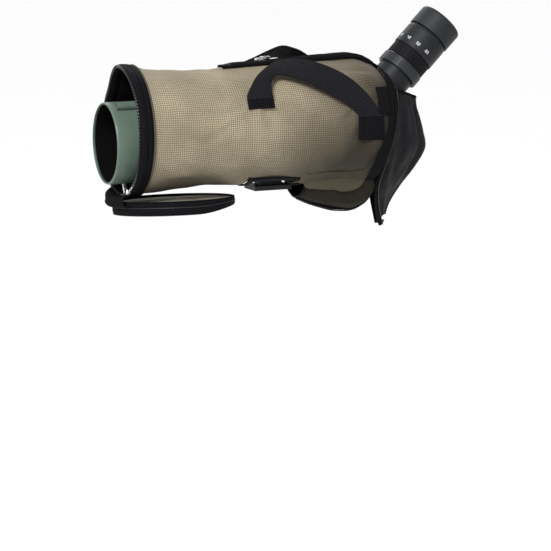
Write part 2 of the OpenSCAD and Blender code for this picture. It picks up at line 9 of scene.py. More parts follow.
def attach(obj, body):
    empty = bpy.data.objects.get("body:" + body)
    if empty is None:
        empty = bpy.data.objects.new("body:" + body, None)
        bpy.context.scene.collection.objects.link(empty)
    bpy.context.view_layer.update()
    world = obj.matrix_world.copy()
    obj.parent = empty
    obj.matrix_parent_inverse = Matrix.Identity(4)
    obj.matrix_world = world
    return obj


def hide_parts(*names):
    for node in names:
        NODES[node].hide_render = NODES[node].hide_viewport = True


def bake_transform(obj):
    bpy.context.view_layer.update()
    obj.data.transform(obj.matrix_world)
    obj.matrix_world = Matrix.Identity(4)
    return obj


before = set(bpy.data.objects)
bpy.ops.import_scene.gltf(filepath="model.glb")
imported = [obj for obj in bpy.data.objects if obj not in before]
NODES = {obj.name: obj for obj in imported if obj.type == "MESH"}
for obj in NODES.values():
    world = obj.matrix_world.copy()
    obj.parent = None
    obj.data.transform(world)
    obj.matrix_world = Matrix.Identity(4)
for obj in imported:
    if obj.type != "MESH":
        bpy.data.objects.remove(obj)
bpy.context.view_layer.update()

random.seed(7)

# The case's own measures, as part.scad has them, in metres
AXIS_Z = 0.066
CASE_Z = 0.080
CASE_LINE = [(-0.171, 0.0760), (-0.150, 0.0748), (-0.110, 0.0718), (-0.075, 0.0706), (-0.060, 0.0710),
             (0.100, 0.0775), (0.124, 0.0775), (0.136, 0.0760), (0.146, 0.0705), (0.156, 0.0605),
             (0.163, 0.0495), (0.168, 0.0365)]
CASE_FRONT, CASE_LENGTH = -0.171, 0.305
CASE_ARC = 0.074  # the radius on which turns round the case are measured as lengths of cloth
EYE_X = 0.105
EYE_DIR = Vector((1, 0, 1)).normalized()


# ------------------------------------------------------------------ materials
class Nodes:
    """Short names for building one material's node tree."""

    def __init__(self, name, rough, metal=0.0):
        self.m = bpy.data.materials.new(name)
        self.m.use_nodes = True
        self.t = self.m.node_tree
        self.bsdf = self.t.nodes["Principled BSDF"]
        self.level("Roughness", rough)
        self.level("Metallic", metal)
        self.coords = None

    def level(self, socket, value):
        self.bsdf.inputs[socket].default_value = value

    def new(self, kind, **props):
        n = self.t.nodes.new(kind)
        for k, v in props.items():
            setattr(n, k, v)
        return n

    def put(self, socket, value):
        if isinstance(value, bpy.types.NodeSocket):
            self.t.links.new(value, socket)
        else:
            socket.default_value = value

    def math(self, op, a, b=0.0, clamp=False):
        n = self.new("ShaderNodeMath", operation=op, use_clamp=clamp)
        for s, v in zip(n.inputs, (a, b)):
            self.put(s, v)
        return n.outputs[0]

    def at(self):
        if self.coords is None:
            self.coords = self.new("ShaderNodeTexCoord").outputs["Object"]
        return self.coords

    def noise(self, scale, detail=3.0, rough=0.55, vector=None):
        n = self.new("ShaderNodeTexNoise")
        self.put(n.inputs["Vector"], vector or self.at())
        n.inputs["Scale"].default_value = scale
        n.inputs["Detail"].default_value = detail
        n.inputs["Roughness"].default_value = rough
        return n.outputs["Fac"]

    def stretch(self, scale):
        n = self.new("ShaderNodeMapping")
        self.put(n.inputs["Vector"], self.at())
        n.inputs["Scale"].default_value = scale
        return n.outputs["Vector"]

    def mix(self, fac, a, b):
        n = self.new("ShaderNodeMix", data_type="RGBA")
        self.put(n.inputs[0], fac)
        for s, v in zip((n.inputs[6], n.inputs[7]), (a, b)):
            self.put(s, (*v, 1) if isinstance(v, tuple) and len(v) == 3 else v)
        return n.outputs[2]

    def spread(self, value, low, high, to_low=0.0, to_high=1.0):
        n = self.new("ShaderNodeMapRange")
        for s, v in zip(n.inputs, (value, low, high, to_low, to_high)):
            self.put(s, v)
        return n.outputs[0]

    def bump(self, height, distance, normal=None):
        n = self.new("ShaderNodeBump")
        self.put(n.inputs["Height"], height)
        n.inputs["Distance"].default_value = distance
        n.inputs["Strength"].default_value = 1.0
        if normal:
            self.put(n.inputs["Normal"], normal)
        return n.outputs[0]

    def uv(self):
        sep = self.new("ShaderNodeSeparateXYZ")
        self.put(sep.inputs[0], self.new("ShaderNodeUVMap", uv_map="cloth").outputs[0])
        return sep.outputs[0], sep.outputs[1]

    def colour(self, v):
        self.put(self.bsdf.inputs["Base Color"], v)

    def roughness(self, v):
        self.put(self.bsdf.inputs["Roughness"], v)

    def normal(self, v):
        self.put(self.bsdf.inputs["Normal"], v)


def hard(name, dark, light, rough, metal=0.0, grain=900.0, relief=0.00004, shine=0.5):
    """Painted, moulded or turned surface: two close tones, uneven gloss and a fine relief."""
    n = Nodes(name, rough=rough, metal=metal)
    broad = n.noise(28, 4)
    fine = n.noise(grain, 2)
    n.colour(n.mix(n.spread(broad, 0.3, 0.7), dark, light))
    n.roughness(n.math("ADD", n.spread(broad, 0.25, 0.75, rough - 0.08, rough + 0.08),
                       n.spread(fine, 0.3, 0.7, -0.04, 0.04), clamp=True))
    n.normal(n.bump(fine, relief))
    n.level("Specular IOR Level", shine)
    return n.m


def woven(name, dark, light, pitch, relief=0.00035, sheen=0.1, blotch_and_fold_shade=None, shade_from=None, contrast=0.35,
          shine=0.1):
    """Coarse weave in the piece's own cloth coordinates, its threads crossing on the diagonal."""
    n = Nodes(name, rough=0.85)
    u, v = n.uv()
    wander = n.math("MULTIPLY", n.noise(60, 2), 0.0010)
    u = n.math("ADD", u, wander)
    a, b = (n.math("SINE", n.math("MULTIPLY", n.math(op, u, v), math.pi / pitch / math.sqrt(2)))
            for op in ("ADD", "SUBTRACT"))
    cross = n.math("MULTIPLY", a, b)
    thread = n.spread(cross, -0.35, 0.35)
    height = n.math("ADD", n.math("MULTIPLY", n.math("ABSOLUTE", cross), 0.6), n.math("MULTIPLY", thread, 0.4))
    # Random darker patches: partly discolouring of the cloth, partly painted shade of its soft folds
    patchy = n.spread(n.noise(15, 4), 0.34, 0.68, 0.0, 0.75)
    ground = n.mix(patchy, light, blotch_and_fold_shade or light)
    weft = n.mix(contrast, ground, dark)
    cloth = n.mix(thread, weft, ground)
    cloth = n.mix(n.spread(n.math("ABSOLUTE", cross), 0.22, 0.0, 0.0, 0.7), cloth, tuple(c * 0.6 for c in dark))
    cloth = n.mix(n.spread(n.noise(1500, 2), 0.35, 0.75, 0.0, 0.3), cloth, dark)
    # Painted shade: with shade_from the colour darkens towards the rear and lower down, where the case turns away
    # from the light
    if shade_from:
        sep = n.new("ShaderNodeSeparateXYZ")
        n.put(sep.inputs[0], n.at())
        back = n.math("ADD", sep.outputs[0], n.math("MULTIPLY", n.noise(16, 3), 0.045))
        low = n.math("MULTIPLY", n.math("SUBTRACT", 0.085, sep.outputs[2]), 0.70)
        painted_shade = n.spread(n.math("ADD", back, low), shade_from[0], shade_from[1], 0.0, 0.95)
        cloth = n.mix(painted_shade, cloth, tuple(c * 0.22 for c in dark))
        # Painted shade: darker again along the underside
        under = n.spread(sep.outputs[2], 0.035, 0.003, 0.0, 0.45)
        cloth = n.mix(under, cloth, dark)
    n.colour(cloth)
    n.level("Specular IOR Level", shine)
    n.normal(n.bump(n.noise(700, 2), 0.00008, normal=n.bump(height, relief)))
    n.level("Sheen Weight", sheen)
    n.level("Sheen Roughness", 0.5)
    return n.m


def coated(name, dark, light):
    """Soft coated cloth with long lighter streaks down it: painted highlights standing in for its soft folds."""
    n = Nodes(name, rough=0.55)
    painted_fold_light = n.noise(1.0, 4, 0.55, vector=n.stretch((34, 46, 7)))
    grain = n.noise(520, 3)
    tone = n.math("ADD", n.math("MULTIPLY", n.spread(painted_fold_light, 0.50, 0.74), 0.85),
                  n.math("MULTIPLY", grain, 0.15))
    n.colour(n.mix(tone, dark, light))
    n.roughness(n.spread(painted_fold_light, 0.4, 0.7, 0.62, 0.46))
    n.normal(n.bump(grain, 0.00012))
    n.level("Specular IOR Level", 0.08)
    return n.m


def ribbed(name, dark, light, pitch, relief=0.0005, chevron=0.35, column=0.0035):
    """Webbing: ribs across its width that lean one way and then the other."""
    n = Nodes(name, rough=0.7)
    u, v = n.uv()
    zig = n.math("PINGPONG", v, column)
    ribs = n.math("SINE", n.math("MULTIPLY", n.math("ADD", u, n.math("MULTIPLY", zig, chevron)),
                                 2 * math.pi / pitch))
    columns = n.math("SINE", n.math("MULTIPLY", v, 2 * math.pi / column))
    height = n.math("ADD", n.math("MULTIPLY", ribs, 0.7), n.math("MULTIPLY", columns, 0.3))
    fuzz = n.noise(500, 3)
    n.colour(n.mix(n.spread(n.math("ADD", height, n.math("MULTIPLY", fuzz, 0.6)), -0.6, 1.3), dark, light))
    n.normal(n.bump(fuzz, 0.0001, normal=n.bump(height, relief)))
    n.level("Specular IOR Level", 0.03)
    return n.m


def fuzzy(name, dark, light, scale=650):
    """Felt, fleece lining or napped tape."""
    n = Nodes(name, rough=0.95)
    nap = n.noise(scale, 4, 0.7)
    tone = n.math("ADD", n.math("MULTIPLY", nap, 0.7), n.math("MULTIPLY", n.noise(35, 3), 0.3))
    n.colour(n.mix(n.spread(tone, 0.35, 0.65), dark, light))
    n.normal(n.bump(nap, 0.0003))
    n.level("Specular IOR Level", 0.02)
    return n.m


def brushed(name, dark, light, rough, along):
    """Bare metal with fine lines; along stretches them in each direction."""
    n = Nodes(name, rough=rough, metal=1.0)
    lines = n.noise(1.0, 4, 0.6, vector=n.stretch(along))
    n.colour(n.mix(n.spread(lines, 0.35, 0.65), dark, light))
    n.roughness(n.spread(lines, 0.3, 0.7, rough - 0.08, rough + 0.12))
    n.normal(n.bump(lines, 0.00002))
    return n.m


def optic(name, tint):
    """Coated optical glass."""
    rough = 0.02
    n = Nodes(name, rough=rough)
    n.colour(n.mix(n.spread(n.noise(9, 2), 0.3, 0.7), tint, tuple(c * 0.9 for c in tint)))
    n.level("Transmission Weight", 1.0)
    n.level("IOR", 1.52)
    n.level("Coat Weight", 0.5)
    n.level("Coat Tint", (0.45, 0.8, 0.6, 1))
    n.roughness(n.spread(n.noise(400, 2), 0.3, 0.7, rough, rough + 0.03))
    return n.m


M = {
    "green": hard("green_satin", (0.042, 0.060, 0.048), (0.058, 0.082, 0.066), 0.42, grain=1400, shine=0.22),
    "black_paint": hard("black_paint", (0.006, 0.006, 0.007), (0.010, 0.010, 0.012), 0.45, shine=0.15),
    "flat_black": hard("flat_black", (0.0012, 0.0012, 0.0012), (0.0024, 0.0024, 0.0028), 0.9, grain=600,
                       shine=0.02),
    "anodised": hard("anodised_black", (0.006, 0.006, 0.007), (0.011, 0.011, 0.013), 0.38, metal=0.2, shine=0.2),
    "ring_grey": hard("ring_grey", (0.007, 0.008, 0.010), (0.012, 0.013, 0.016), 0.40, grain=1600, shine=0.16),
    "eyepiece": hard("eyepiece_satin", (0.0045, 0.0050, 0.0062), (0.0080, 0.0088, 0.0105), 0.45, grain=1500,
                     shine=0.12),
    "rubber": hard("rubber", (0.0018, 0.0018, 0.0022), (0.0040, 0.0040, 0.0046), 0.60, grain=1100,
                   relief=0.00008, shine=0.06),
    "eyecup": hard("eyecup_rubber", (0.0070, 0.0078, 0.0092), (0.0115, 0.0128, 0.0150), 0.5, grain=1300,
                   relief=0.00006, shine=0.12),
    "seal": hard("seal_rubber", (0.004, 0.004, 0.004), (0.008, 0.008, 0.008), 0.5, shine=0.1),
    "steel": brushed("steel", (0.5, 0.5, 0.52), (0.72, 0.72, 0.74), 0.3, (90, 900, 900)),
    "nickel": brushed("bright_nickel", (0.55, 0.55, 0.57), (0.80, 0.80, 0.81), 0.2, (500, 120, 500)),
    "brass": brushed("brass", (0.55, 0.38, 0.14), (0.75, 0.56, 0.26), 0.32, (150, 600, 600)),
    "felt": fuzzy("black_felt", (0.0010, 0.0010, 0.0010), (0.0025, 0.0025, 0.0030)),
    "lining": fuzzy("black_lining", (0.0010, 0.0010, 0.0014), (0.0032, 0.0032, 0.0038), 420),
    "lens": optic("coated_glass", (0.80, 0.93, 0.90)),
    "prism": optic("prism_glass", (0.90, 0.95, 0.95)),
    # The khaki carries painted shade towards its rear and bottom (shade_from)
    "khaki": woven("khaki_weave", (0.046, 0.038, 0.024), (0.275, 0.238, 0.168), 0.0019, relief=0.00045,
                   blotch_and_fold_shade=(0.150, 0.126, 0.086), shade_from=(-0.005, 0.135), contrast=0.72, sheen=0.05),
    # A darker copy of the khaki: painted shade for the belly, which lies in the case's shadow
    "khaki_painted_shade": woven("khaki_weave_shaded", (0.0045, 0.0038, 0.0024), (0.0200, 0.0172, 0.0120), 0.0019,
                        blotch_and_fold_shade=(0.0110, 0.0094, 0.0064), contrast=0.7, sheen=0.01, shine=0.04),
    "black_weave": woven("black_weave", (0.0010, 0.0010, 0.0013), (0.0042, 0.0042, 0.0052), 0.0014, sheen=0.0,
                         shine=0.03),
    "webbing": ribbed("webbing", (0.0010, 0.0010, 0.0014), (0.0125, 0.0125, 0.0150), 0.0024),
    # A darker copy of the webbing: painted shade for the stitched strap ends and rear tabs
    "webbing_painted_shade": ribbed("webbing_shaded", (0.0008, 0.0008, 0.0011), (0.0055, 0.0055, 0.0068), 0.0024),
    "tape": ribbed("zip_tape", (0.0008, 0.0008, 0.0010), (0.0050, 0.0050, 0.0062), 0.0012, relief=0.0002),
    "coil": hard("zip_coil", (0.0022, 0.0022, 0.003), (0.0065, 0.0065, 0.0085), 0.45, grain=800, shine=0.2),
    "hood": coated("coated_fabric", (0.0012, 0.0013, 0.0018), (0.0115, 0.0120, 0.0150)),
    "piping": fuzzy("pale_piping", (0.022, 0.019, 0.014), (0.062, 0.055, 0.042), 900),
    "dark_piping": fuzzy("dark_piping", (0.0010, 0.0010, 0.0013), (0.0045, 0.0045, 0.0056), 900),
    "print": hard("white_ink", (0.30, 0.30, 0.31), (0.46, 0.46, 0.47), 0.5),
}

CAD_LOOK = {
    "black_paint": ["tripod_collar", "barrel", "eyepiece_head", "eyecup_sleeve"],
    "felt": ["collar_liner", "sunshade_felt"],
    "brass": ["thread_bush", "zoom_cell_lower", "zoom_cell_upper"],
    "steel": ["clamp_screw", "focus_arm", "focus_shaft", "housing_screws"],
    "rubber": ["clamp_knob", "coarse_knob", "fine_knob", "zoom_grip"],
    "green": ["sunshade", "sight_tube", "prism_housing", "rear_housing"],
    "flat_black": ["light_baffles", "prism_cage"],
    "anodised": ["objective_cell", "lens_spacer", "lens_retainer", "focus_cell"],
    "lens": ["objective_front_lens", "objective_rear_lens", "focus_lens", "zoom_lens_lower",
             "zoom_lens_upper", "field_lens", "eye_lens"],
    "prism": ["roof_prism", "relay_prism"],
    "seal": ["objective_o_ring", "mount_o_ring"],
    "ring_grey": ["lock_ring", "eyepiece_mount"],
    "eyepiece": ["eyepiece_body", "zoom_ring"],
    "eyecup": ["eyecup_rubber"],
    "nickel": ["rim_zip_slider", "top_zip_slider", "top_zip_pull", "hood_snap"],
}
for look, names in CAD_LOOK.items():
    for name in names:
        slots = NODES[name].data.materials
        slots.clear()
        slots.append(M[look])


# ------------------------------------------------------------------ building helpers
def outwards(verts, faces, out):
    """The faces, all turned over if most of them look against out(centre)."""
    total = 0.0
    for f in faces:
        a, b, c = (verts[i] for i in f[:3])
        total += (b - a).cross(c - a).dot(out((a + b + c) / 3))
    return faces if total >= 0 else [f[::-1] for f in faces]


def solid(thickness, offset=0):
    return "SOLIDIFY", {"thickness": thickness, "offset": offset}


def rounded(width):
    return "BEVEL", {"width": width, "segments": 2}


FINER = ("SUBSURF", {"levels": 1, "render_levels": 1})
WELD = ("WELD", {"merge_threshold": 0.00002})


def add_modifiers(ob, *then):
    for kind, props in then:
        mod = ob.modifiers.new(kind.lower(), kind)
        for k, v in props.items():
            setattr(mod, k, v)


def finish_piece(ob, body, stands_for=(), slot=None):
    """Attaches a piece to the body it rides on and hides the CAD nodes it stands for. slot is not used."""
    if body:
        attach(ob, body)
    if stands_for:
        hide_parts(*stands_for)


def piece(name, verts, faces, look, body, uvs=None, smooth=True, stands_for=(), slot=None, then=(), out=None):
    """A new mesh in the shared frame. uvs are cloth coordinates in metres, one a vertex."""
    if out:
        faces = outwards(verts, faces, out)
    me = bpy.data.meshes.new(name)
    me.from_pydata([tuple(v) for v in verts], [], faces)
    me.validate()
    if uvs:
        layer = me.uv_layers.new(name="cloth")
        for loop in me.loops:
            layer.data[loop.index].uv = uvs[loop.vertex_index]
    for p in me.polygons:
        p.use_smooth = smooth
    me.materials.append(M[look])
    ob = bpy.data.objects.new(name, me)
    bpy.context.scene.collection.objects.link(ob)
    add_modifiers(ob, *then)
    finish_piece(ob, body, stands_for, slot)
    return ob


def grid_faces(rows, cols, base=0, skip=None):
    """The quads of a grid of points, without those that skip(row, column) names."""
    out = []
    for i in range(rows - 1):
        for j in range(cols - 1):
            if skip and skip(i, j):
                continue
            a = base + i * cols + j
            out.append((a, a + 1, a + 1 + cols, a + cols))
    return out


def smooth_line(points, steps):
    """Catmull-Rom through the points, as a list of Vectors."""
    pts = [Vector(p) for p in points]
    pts = [2 * pts[0] - pts[1]] + pts + [2 * pts[-1] - pts[-2]]
    out = []
    for i in range(1, len(pts) - 2):
        a, b, c, d = pts[i - 1:i + 3]
        for s in range(steps):
            t = s / steps
            out.append(0.5 * ((2 * b) + (c - a) * t + (2 * a - 5 * b + 4 * c - d) * t * t
                              + (3 * b - a - 3 * c + d) * t ** 3))
    out.append(pts[-2])
    return out


def frames_along(path, hint, closed=False):
    """For each point of a path, its direction, an outward vector near hint(point), and the side vector."""
    out = []
    n = len(path)
    for i, p in enumerate(path):
        a = path[i - 1] if (i or closed) else path[i]
        b = path[(i + 1) % n] if (i < n - 1 or closed) else path[i]
        d = (b - a).normalized()
        o = hint(p)
        o = (o - d * o.dot(d)).normalized()
        out.append((d, o, d.cross(o)))
    return out


def strip(name, path, hint, section, look, body, closed=False, **more):
    """Sweeps a closed section of (side, out) offsets along a path."""
    fr = frames_along(path, hint, closed)
    verts, uvs, run = [], [], 0.0
    rows = list(range(len(path))) + ([0] if closed else [])
    around = [0.0]
    for k in range(len(section)):
        a, b = section[k], section[(k + 1) % len(section)]
        around.append(around[-1] + math.dist(a, b))
    cols = len(section) + 1
    for r, i in enumerate(rows):
        if r:
            run += (path[i] - path[rows[r - 1]]).length
        d, o, s = fr[i]
        for k in range(cols):
            side, out = section[k % len(section)]
            verts.append(path[i] + s * side + o * out)
            uvs.append((run, around[k]))
    faces = grid_faces(len(rows), cols)
    ob = piece(name, verts, faces, look, None, uvs=uvs)
    add_modifiers(ob, WELD)
    if not closed:
        m = ob.data
        n = len(section)
        bm = bmesh.new()
        bm.from_mesh(m)
        bm.verts.ensure_lookup_table()
        for base, flip in ((0, True), ((len(rows) - 1) * cols, False)):
            ring = [bm.verts[base + k] for k in range(n)]
            bm.faces.new(ring if flip else ring[::-1])
        bm.to_mesh(m)
        bm.free()
    finish_piece(ob, body, **more)
    return ob


def round_section(r, n=8):
    return [(r * math.cos(2 * math.pi * k / n), r * math.sin(2 * math.pi * k / n)) for k in range(n)]


def band_section(width, thick, lift=0.0, corner=0.3):
    """A flat band with softened edges, from lift to lift + thick."""
    w, c = width / 2, corner * thick
    return [(-w, lift + c), (-w + c, lift), (w - c, lift), (w, lift + c), (w, lift + thick - c),
            (w - c, lift + thick), (-w + c, lift + thick), (-w, lift + thick - c)]


def lookup(table, x):
    if x <= table[0][0]:
        return table[0][1]
    for (a, b), (c, d) in zip(table, table[1:]):
        if x <= c:
            return b + (d - b) * (x - a) / (c - a)
    return table[-1][1]


def soft_lookup(table, x, blur=0.012):
    return sum(w * lookup(table, x + k * blur) for k, w in ((-1, 0.25), (0, 0.5), (1, 0.25)))


def ramp(v, a, b):
    """0 below a, 1 above b, smooth between."""
    t = max(0.0, min(1.0, (v - a) / (b - a)))
    return t * t * (3 - 2 * t)


def sag(x, turn):
    """How far the slack upper far side of the open front leans in on the tube."""
    return 0.017 * ramp(turn, 0.02, 0.75) * (1 - ramp(turn, 1.45, 2.45)) * (1 - ramp(x, -0.165, -0.085))


def shoulder(x, turn):
    """The case's top rounds down where it meets the collar."""
    return 0.0125 * ramp(x, 0.104, 0.162) * max(math.cos(turn), 0.0) ** 2


def case_at(x, turn, off=0.0):
    """A point on the case. turn is 0 at the top, negative on the near side."""
    r = soft_lookup(CASE_LINE, x) + off - sag(x, turn) - shoulder(x, turn)
    return Vector((x, r * math.sin(turn), CASE_Z + r * math.cos(turn)))


def from_case_axis(p):
    return Vector((0, p.y, p.z - CASE_Z)).normalized()


def rear_edge_x(turn, r=0.077):
    return 0.134 + r * math.cos(turn) * math.tan(math.radians(8))


# Soft folds of the case as [x, turn, x, turn, half width, height], in metres and radians
FOLDS = [
    (-0.040, -1.10, -0.034, -1.75, 0.007, 0.0014), (-0.050, -1.15, -0.047, -1.60, 0.006, -0.0012),
    (-0.028, -1.12, -0.018, -1.60, 0.006, -0.0012), (-0.060, -0.75, -0.085, -0.95, 0.011, -0.0022),
    (-0.095, -0.55, -0.130, -0.80, 0.012, -0.0018), (-0.078, -0.45, -0.100, -0.30, 0.010, 0.0016),
    (-0.110, -0.95, -0.140, -1.10, 0.012, 0.0012), (-0.140, -2.45, -0.085, -2.60, 0.007, -0.0018),
    (-0.150, -2.25, -0.110, -2.38, 0.006, 0.0014), (-0.060, -2.40, 0.000, -2.50, 0.009, -0.0015),
    (0.085, -0.62, 0.118, -0.80, 0.006, 0.0026), (0.092, -0.78, 0.122, -1.00, 0.006, -0.0024),
    (0.078, -0.50, 0.118, -0.58, 0.005, -0.0020), (0.060, -1.60, 0.090, -2.20, 0.016, 0.0022),
    (0.030, -1.75, 0.045, -2.30, 0.014, -0.0020), (0.000, -1.35, 0.015, -1.90, 0.012, -0.0012),
    (-0.120, 0.70, -0.060, 0.95, 0.011, -0.0022), (-0.090, 1.20, -0.020, 1.05, 0.010, 0.0018),
    (-0.040, 1.15, -0.034, 1.80, 0.007, 0.0014), (0.030, 1.60, 0.060, 2.10, 0.014, -0.0020),
    (0.085, 0.66, 0.118, 0.85, 0.006, 0.0024), (0.070, 2.15, 0.110, 1.70, 0.012, 0.0020),
    (-0.150, 1.75, -0.090, 2.05, 0.012, -0.0016), (0.100, -1.75, 0.124, -2.05, 0.008, 0.0022),
]


def fold_height(x, turn):
    total = 0.0
    for x0, t0, x1, t1, wide, tall in FOLDS:
        r = CASE_ARC
        ax, ay, bx, by = x0, t0 * r, x1, t1 * r
        dx, dy = bx - ax, by - ay
        k = max(0.0, min(1.0, ((x - ax) * dx + (turn * r - ay) * dy) / (dx * dx + dy * dy)))
        d = math.hypot(x - ax - k * dx, turn * r - ay - k * dy)
        fade = 0.35 + 0.65 * math.sin(math.pi * k)
        total += 1.35 * tall * fade * math.exp(-(d / wide) ** 2)
    p = Vector((x * 22, math.sin(turn) * 1.7, math.cos(turn) * 1.7))
    total += 0.0018 * noise.noise(p) + 0.0009 * noise.noise(p * 2.7 + Vector((3, 1, 8)))
    edge = min(1.0, max(0.0, (x - CASE_FRONT) / 0.018)) * min(1.0, max(0.0, (rear_edge_x(turn) - x) / 0.014))
    return total * edge


def settle(ob, pin, frames, cap, pressure, gravity, shrink=-0.02, rise=None):
    """A short cloth run with the pinned vertices held, applied to the mesh and capped.

    Gives how far each vertex went. rise is the most that a vertex may leave the case's axis by.
    """
    start = [v.co.copy() for v in ob.data.vertices]
    group = ob.vertex_groups.new(name="pin")
    group.add(pin, 1.0, "REPLACE")
    mod = ob.modifiers.new("cloth", "CLOTH")
    s = mod.settings
    s.quality = 6
    s.mass = 0.35
    s.tension_stiffness = 18
    s.compression_stiffness = 12
    s.bending_stiffness = 1.2
    s.vertex_group_mass = "pin"
    s.use_pressure = True
    s.uniform_pressure_force = pressure
    s.shrink_min = shrink
    s.effector_weights.gravity = gravity
    mod.collision_settings.use_collision = False
    sc = bpy.context.scene
    for f in range(1, frames + 1):
        sc.frame_set(f)
    live = ob.evaluated_get(bpy.context.evaluated_depsgraph_get())
    moved = [v.co.copy() for v in live.to_mesh().vertices]
    live.to_mesh_clear()
    ob.modifiers.remove(mod)
    ob.vertex_groups.remove(group)
    sc.frame_set(1)
    gone = []
    for v, a, b in zip(ob.data.vertices, start, moved):
        d = b - a
        if not all(math.isfinite(c) for c in d):
            d = Vector((0, 0, 0))
        if d.length > cap:
            d *= cap / d.length
        if rise is not None:
            away = from_case_axis(a)
            d -= away * max(0.0, d.dot(away) - rise)
        v.co = a + d
        gone.append(d)
    return gone


# ------------------------------------------------------------------ case body
def spaced(stops, step):
    """Values from the first stop to the last that pass through every stop, about step apart."""
    out = []
    for a, b in zip(stops, stops[1:]):
        n = max(1, round((b - a) / step))
        out += [a + (b - a) * i / n for i in range(n)]
    return out + [stops[-1]]


HOLE_X, HOLE_Y = 0.034, 0.038
hole_turn = math.pi - math.asin(HOLE_Y / CASE_ARC)
turns = spaced([-math.pi, -hole_turn, 0, hole_turn, math.pi], 0.045)
stations = spaced([0, (-CASE_FRONT - HOLE_X) / CASE_LENGTH, (-CASE_FRONT + HOLE_X) / CASE_LENGTH, 1], 0.0115)


def case_grid(off, front=CASE_FRONT):
    """Points of the case at off from its line, from front to the slanted rear edge."""
    verts, uvs = [], []
    for s in stations:
        for t in turns:
            x = front + s * (rear_edge_x(t) - front)
            verts.append(case_at(x, t, off + fold_height(x, t)))
            uvs.append((x, t * CASE_ARC))
    return verts, uvs


def over_hole(i, j):
    """Whether a quad of the case lies over the opening for the foot."""
    mid = (turns[j] + turns[j + 1]) / 2
    x = CASE_FRONT + (stations[i] + stations[i + 1]) / 2 * CASE_LENGTH
    return abs(x) < HOLE_X and abs(mid) > hole_turn


verts, uvs = case_grid(0.0)
faces = grid_faces(len(stations), len(turns), skip=over_hole)
shell = piece("case_body", verts, faces, "khaki", None, uvs=uvs, out=from_case_axis)
last = len(stations) - 1
pins = []
for i in range(len(stations)):
    for j, t in enumerate(turns):
        k = i * len(turns) + j
        x = verts[k].x
        at_edge = i < 2 or i > last - 2 or j in (0, len(turns) - 1)
        at_foot = abs(x) < HOLE_X + 0.008 and abs(t) > hole_turn - 0.1
        at_zip = abs(t) < 0.13 and x > -0.062
        at_handle = (-0.052 < x < -0.017 and 1.05 < abs(t) < 1.25) or (x > 0.083 and 1.2 < abs(t) < 1.6)
        if at_edge or at_foot or at_zip or at_handle:
            pins.append(k)
gone = settle(shell, pins, frames=16, cap=0.0025, pressure=0.6, gravity=0.5, shrink=-0.03, rise=0.0004)
add_modifiers(shell, solid(0.0020, -1), FINER)
finish_piece(shell, "scope", ["case_shell"], "khaki_weave")

verts, uvs = case_grid(-0.0032, front=-0.1775)
verts = [v + d for v, d in zip(verts, gone)]
lining = piece("case_lining_cloth", verts, faces, "lining", "scope", uvs=uvs, stands_for=["case_lining"],
               slot="black_lining", out=from_case_axis, then=[solid(0.0018, -1)])


def ring_path(x, r, n=160):
    """A closed path round the open front, leaning in where the rim is slack."""
    out = []
    for k in range(n):
        t = 2 * math.pi * k / n - math.pi
        q = r - sag(x, t)
        out.append(Vector((x, q * math.sin(t), CASE_Z + q * math.cos(t))))
    return out


# ------------------------------------------------------------------ front zip band
def band_ring(name, profile, look, body, n=160, **more):
    """A ring round the case's axis from an open (x, radius) profile, closed back inside by thickness."""
    verts, uvs = [], []
    run = [0.0]
    for a, b in zip(profile, profile[1:]):
        run.append(run[-1] + math.dist(a, b))
    for k in range(n + 1):
        t = 2 * math.pi * k / n - math.pi
        for (x, r), v in zip(profile, run):
            wave = 0.0005 * noise.noise(Vector((x * 40, 3 * math.sin(t), 3 * math.cos(t)))) - sag(x, t)
            verts.append(Vector((x, (r + wave) * math.sin(t), CASE_Z + (r + wave) * math.cos(t))))
            uvs.append((t * 0.078, v))
    faces = grid_faces(n + 1, len(profile))
    mid = sum(r for _, r in profile) / len(profile)
    at = sum(x for x, _ in profile) / len(profile)
    ob = piece(name, verts, faces, look, None, uvs=uvs,
               out=lambda p: p - Vector((at, 0, CASE_Z)) - from_case_axis(p) * mid)
    add_modifiers(ob, WELD)
    finish_piece(ob, body, **more)
    return ob


band_ring("front_zip_band", [
    (-0.1722, 0.0738), (-0.1722, 0.0768), (-0.1738, 0.0782), (-0.1765, 0.0790), (-0.1790, 0.0792),
    (-0.1800, 0.0788), (-0.1808, 0.0790), (-0.1815, 0.0795), (-0.1850, 0.0797), (-0.1880, 0.0790),
    (-0.1894, 0.0776), (-0.1898, 0.0760), (-0.1890, 0.0745), (-0.1860, 0.0738), (-0.1722, 0.0738)],
    "tape", "scope", stands_for=["rim_zip_tape"], slot="zip_tape")


def coil(name, path, hint, body, pitch=0.0019, wide=0.0062, tall=0.0014, slot="zip_tape"):
    """The closed or open zip's row of small crossed teeth along a path of evenly spaced points."""
    verts, faces = [], []
    fr = frames_along(path, hint)
    lengths = [0.0]
    for a, b in zip(path, path[1:]):
        lengths.append(lengths[-1] + (b - a).length)
    count = int(lengths[-1] / pitch)
    seg = 0
    for c in range(count):
        s = (c + 0.5) * pitch
        while lengths[seg + 1] < s:
            seg += 1
        k = (s - lengths[seg]) / (lengths[seg + 1] - lengths[seg])
        p = path[seg].lerp(path[seg + 1], k)
        d, o, side = fr[seg]
        lean = d * (0.0006 if c % 2 else -0.0006)
        base = len(verts)
        for sx, end in ((-1, -1), (-1, 1), (1, 1), (1, -1)):
            q = p + side * (wide / 2 * sx) + lean * sx + d * (pitch * 0.33 * end)
            verts.append(q)
            verts.append(q + o * tall - side * (0.0006 * sx) - d * (pitch * 0.12 * end))
        faces += [(base, base + 2, base + 3, base + 1), (base + 2, base + 4, base + 5, base + 3),
                  (base + 4, base + 6, base + 7, base + 5), (base + 6, base, base + 1, base + 7),
                  (base + 1, base + 3, base + 5, base + 7), (base, base + 6, base + 4, base + 2)]
    return piece(name, verts, faces, "coil", body, smooth=False, slot=slot)


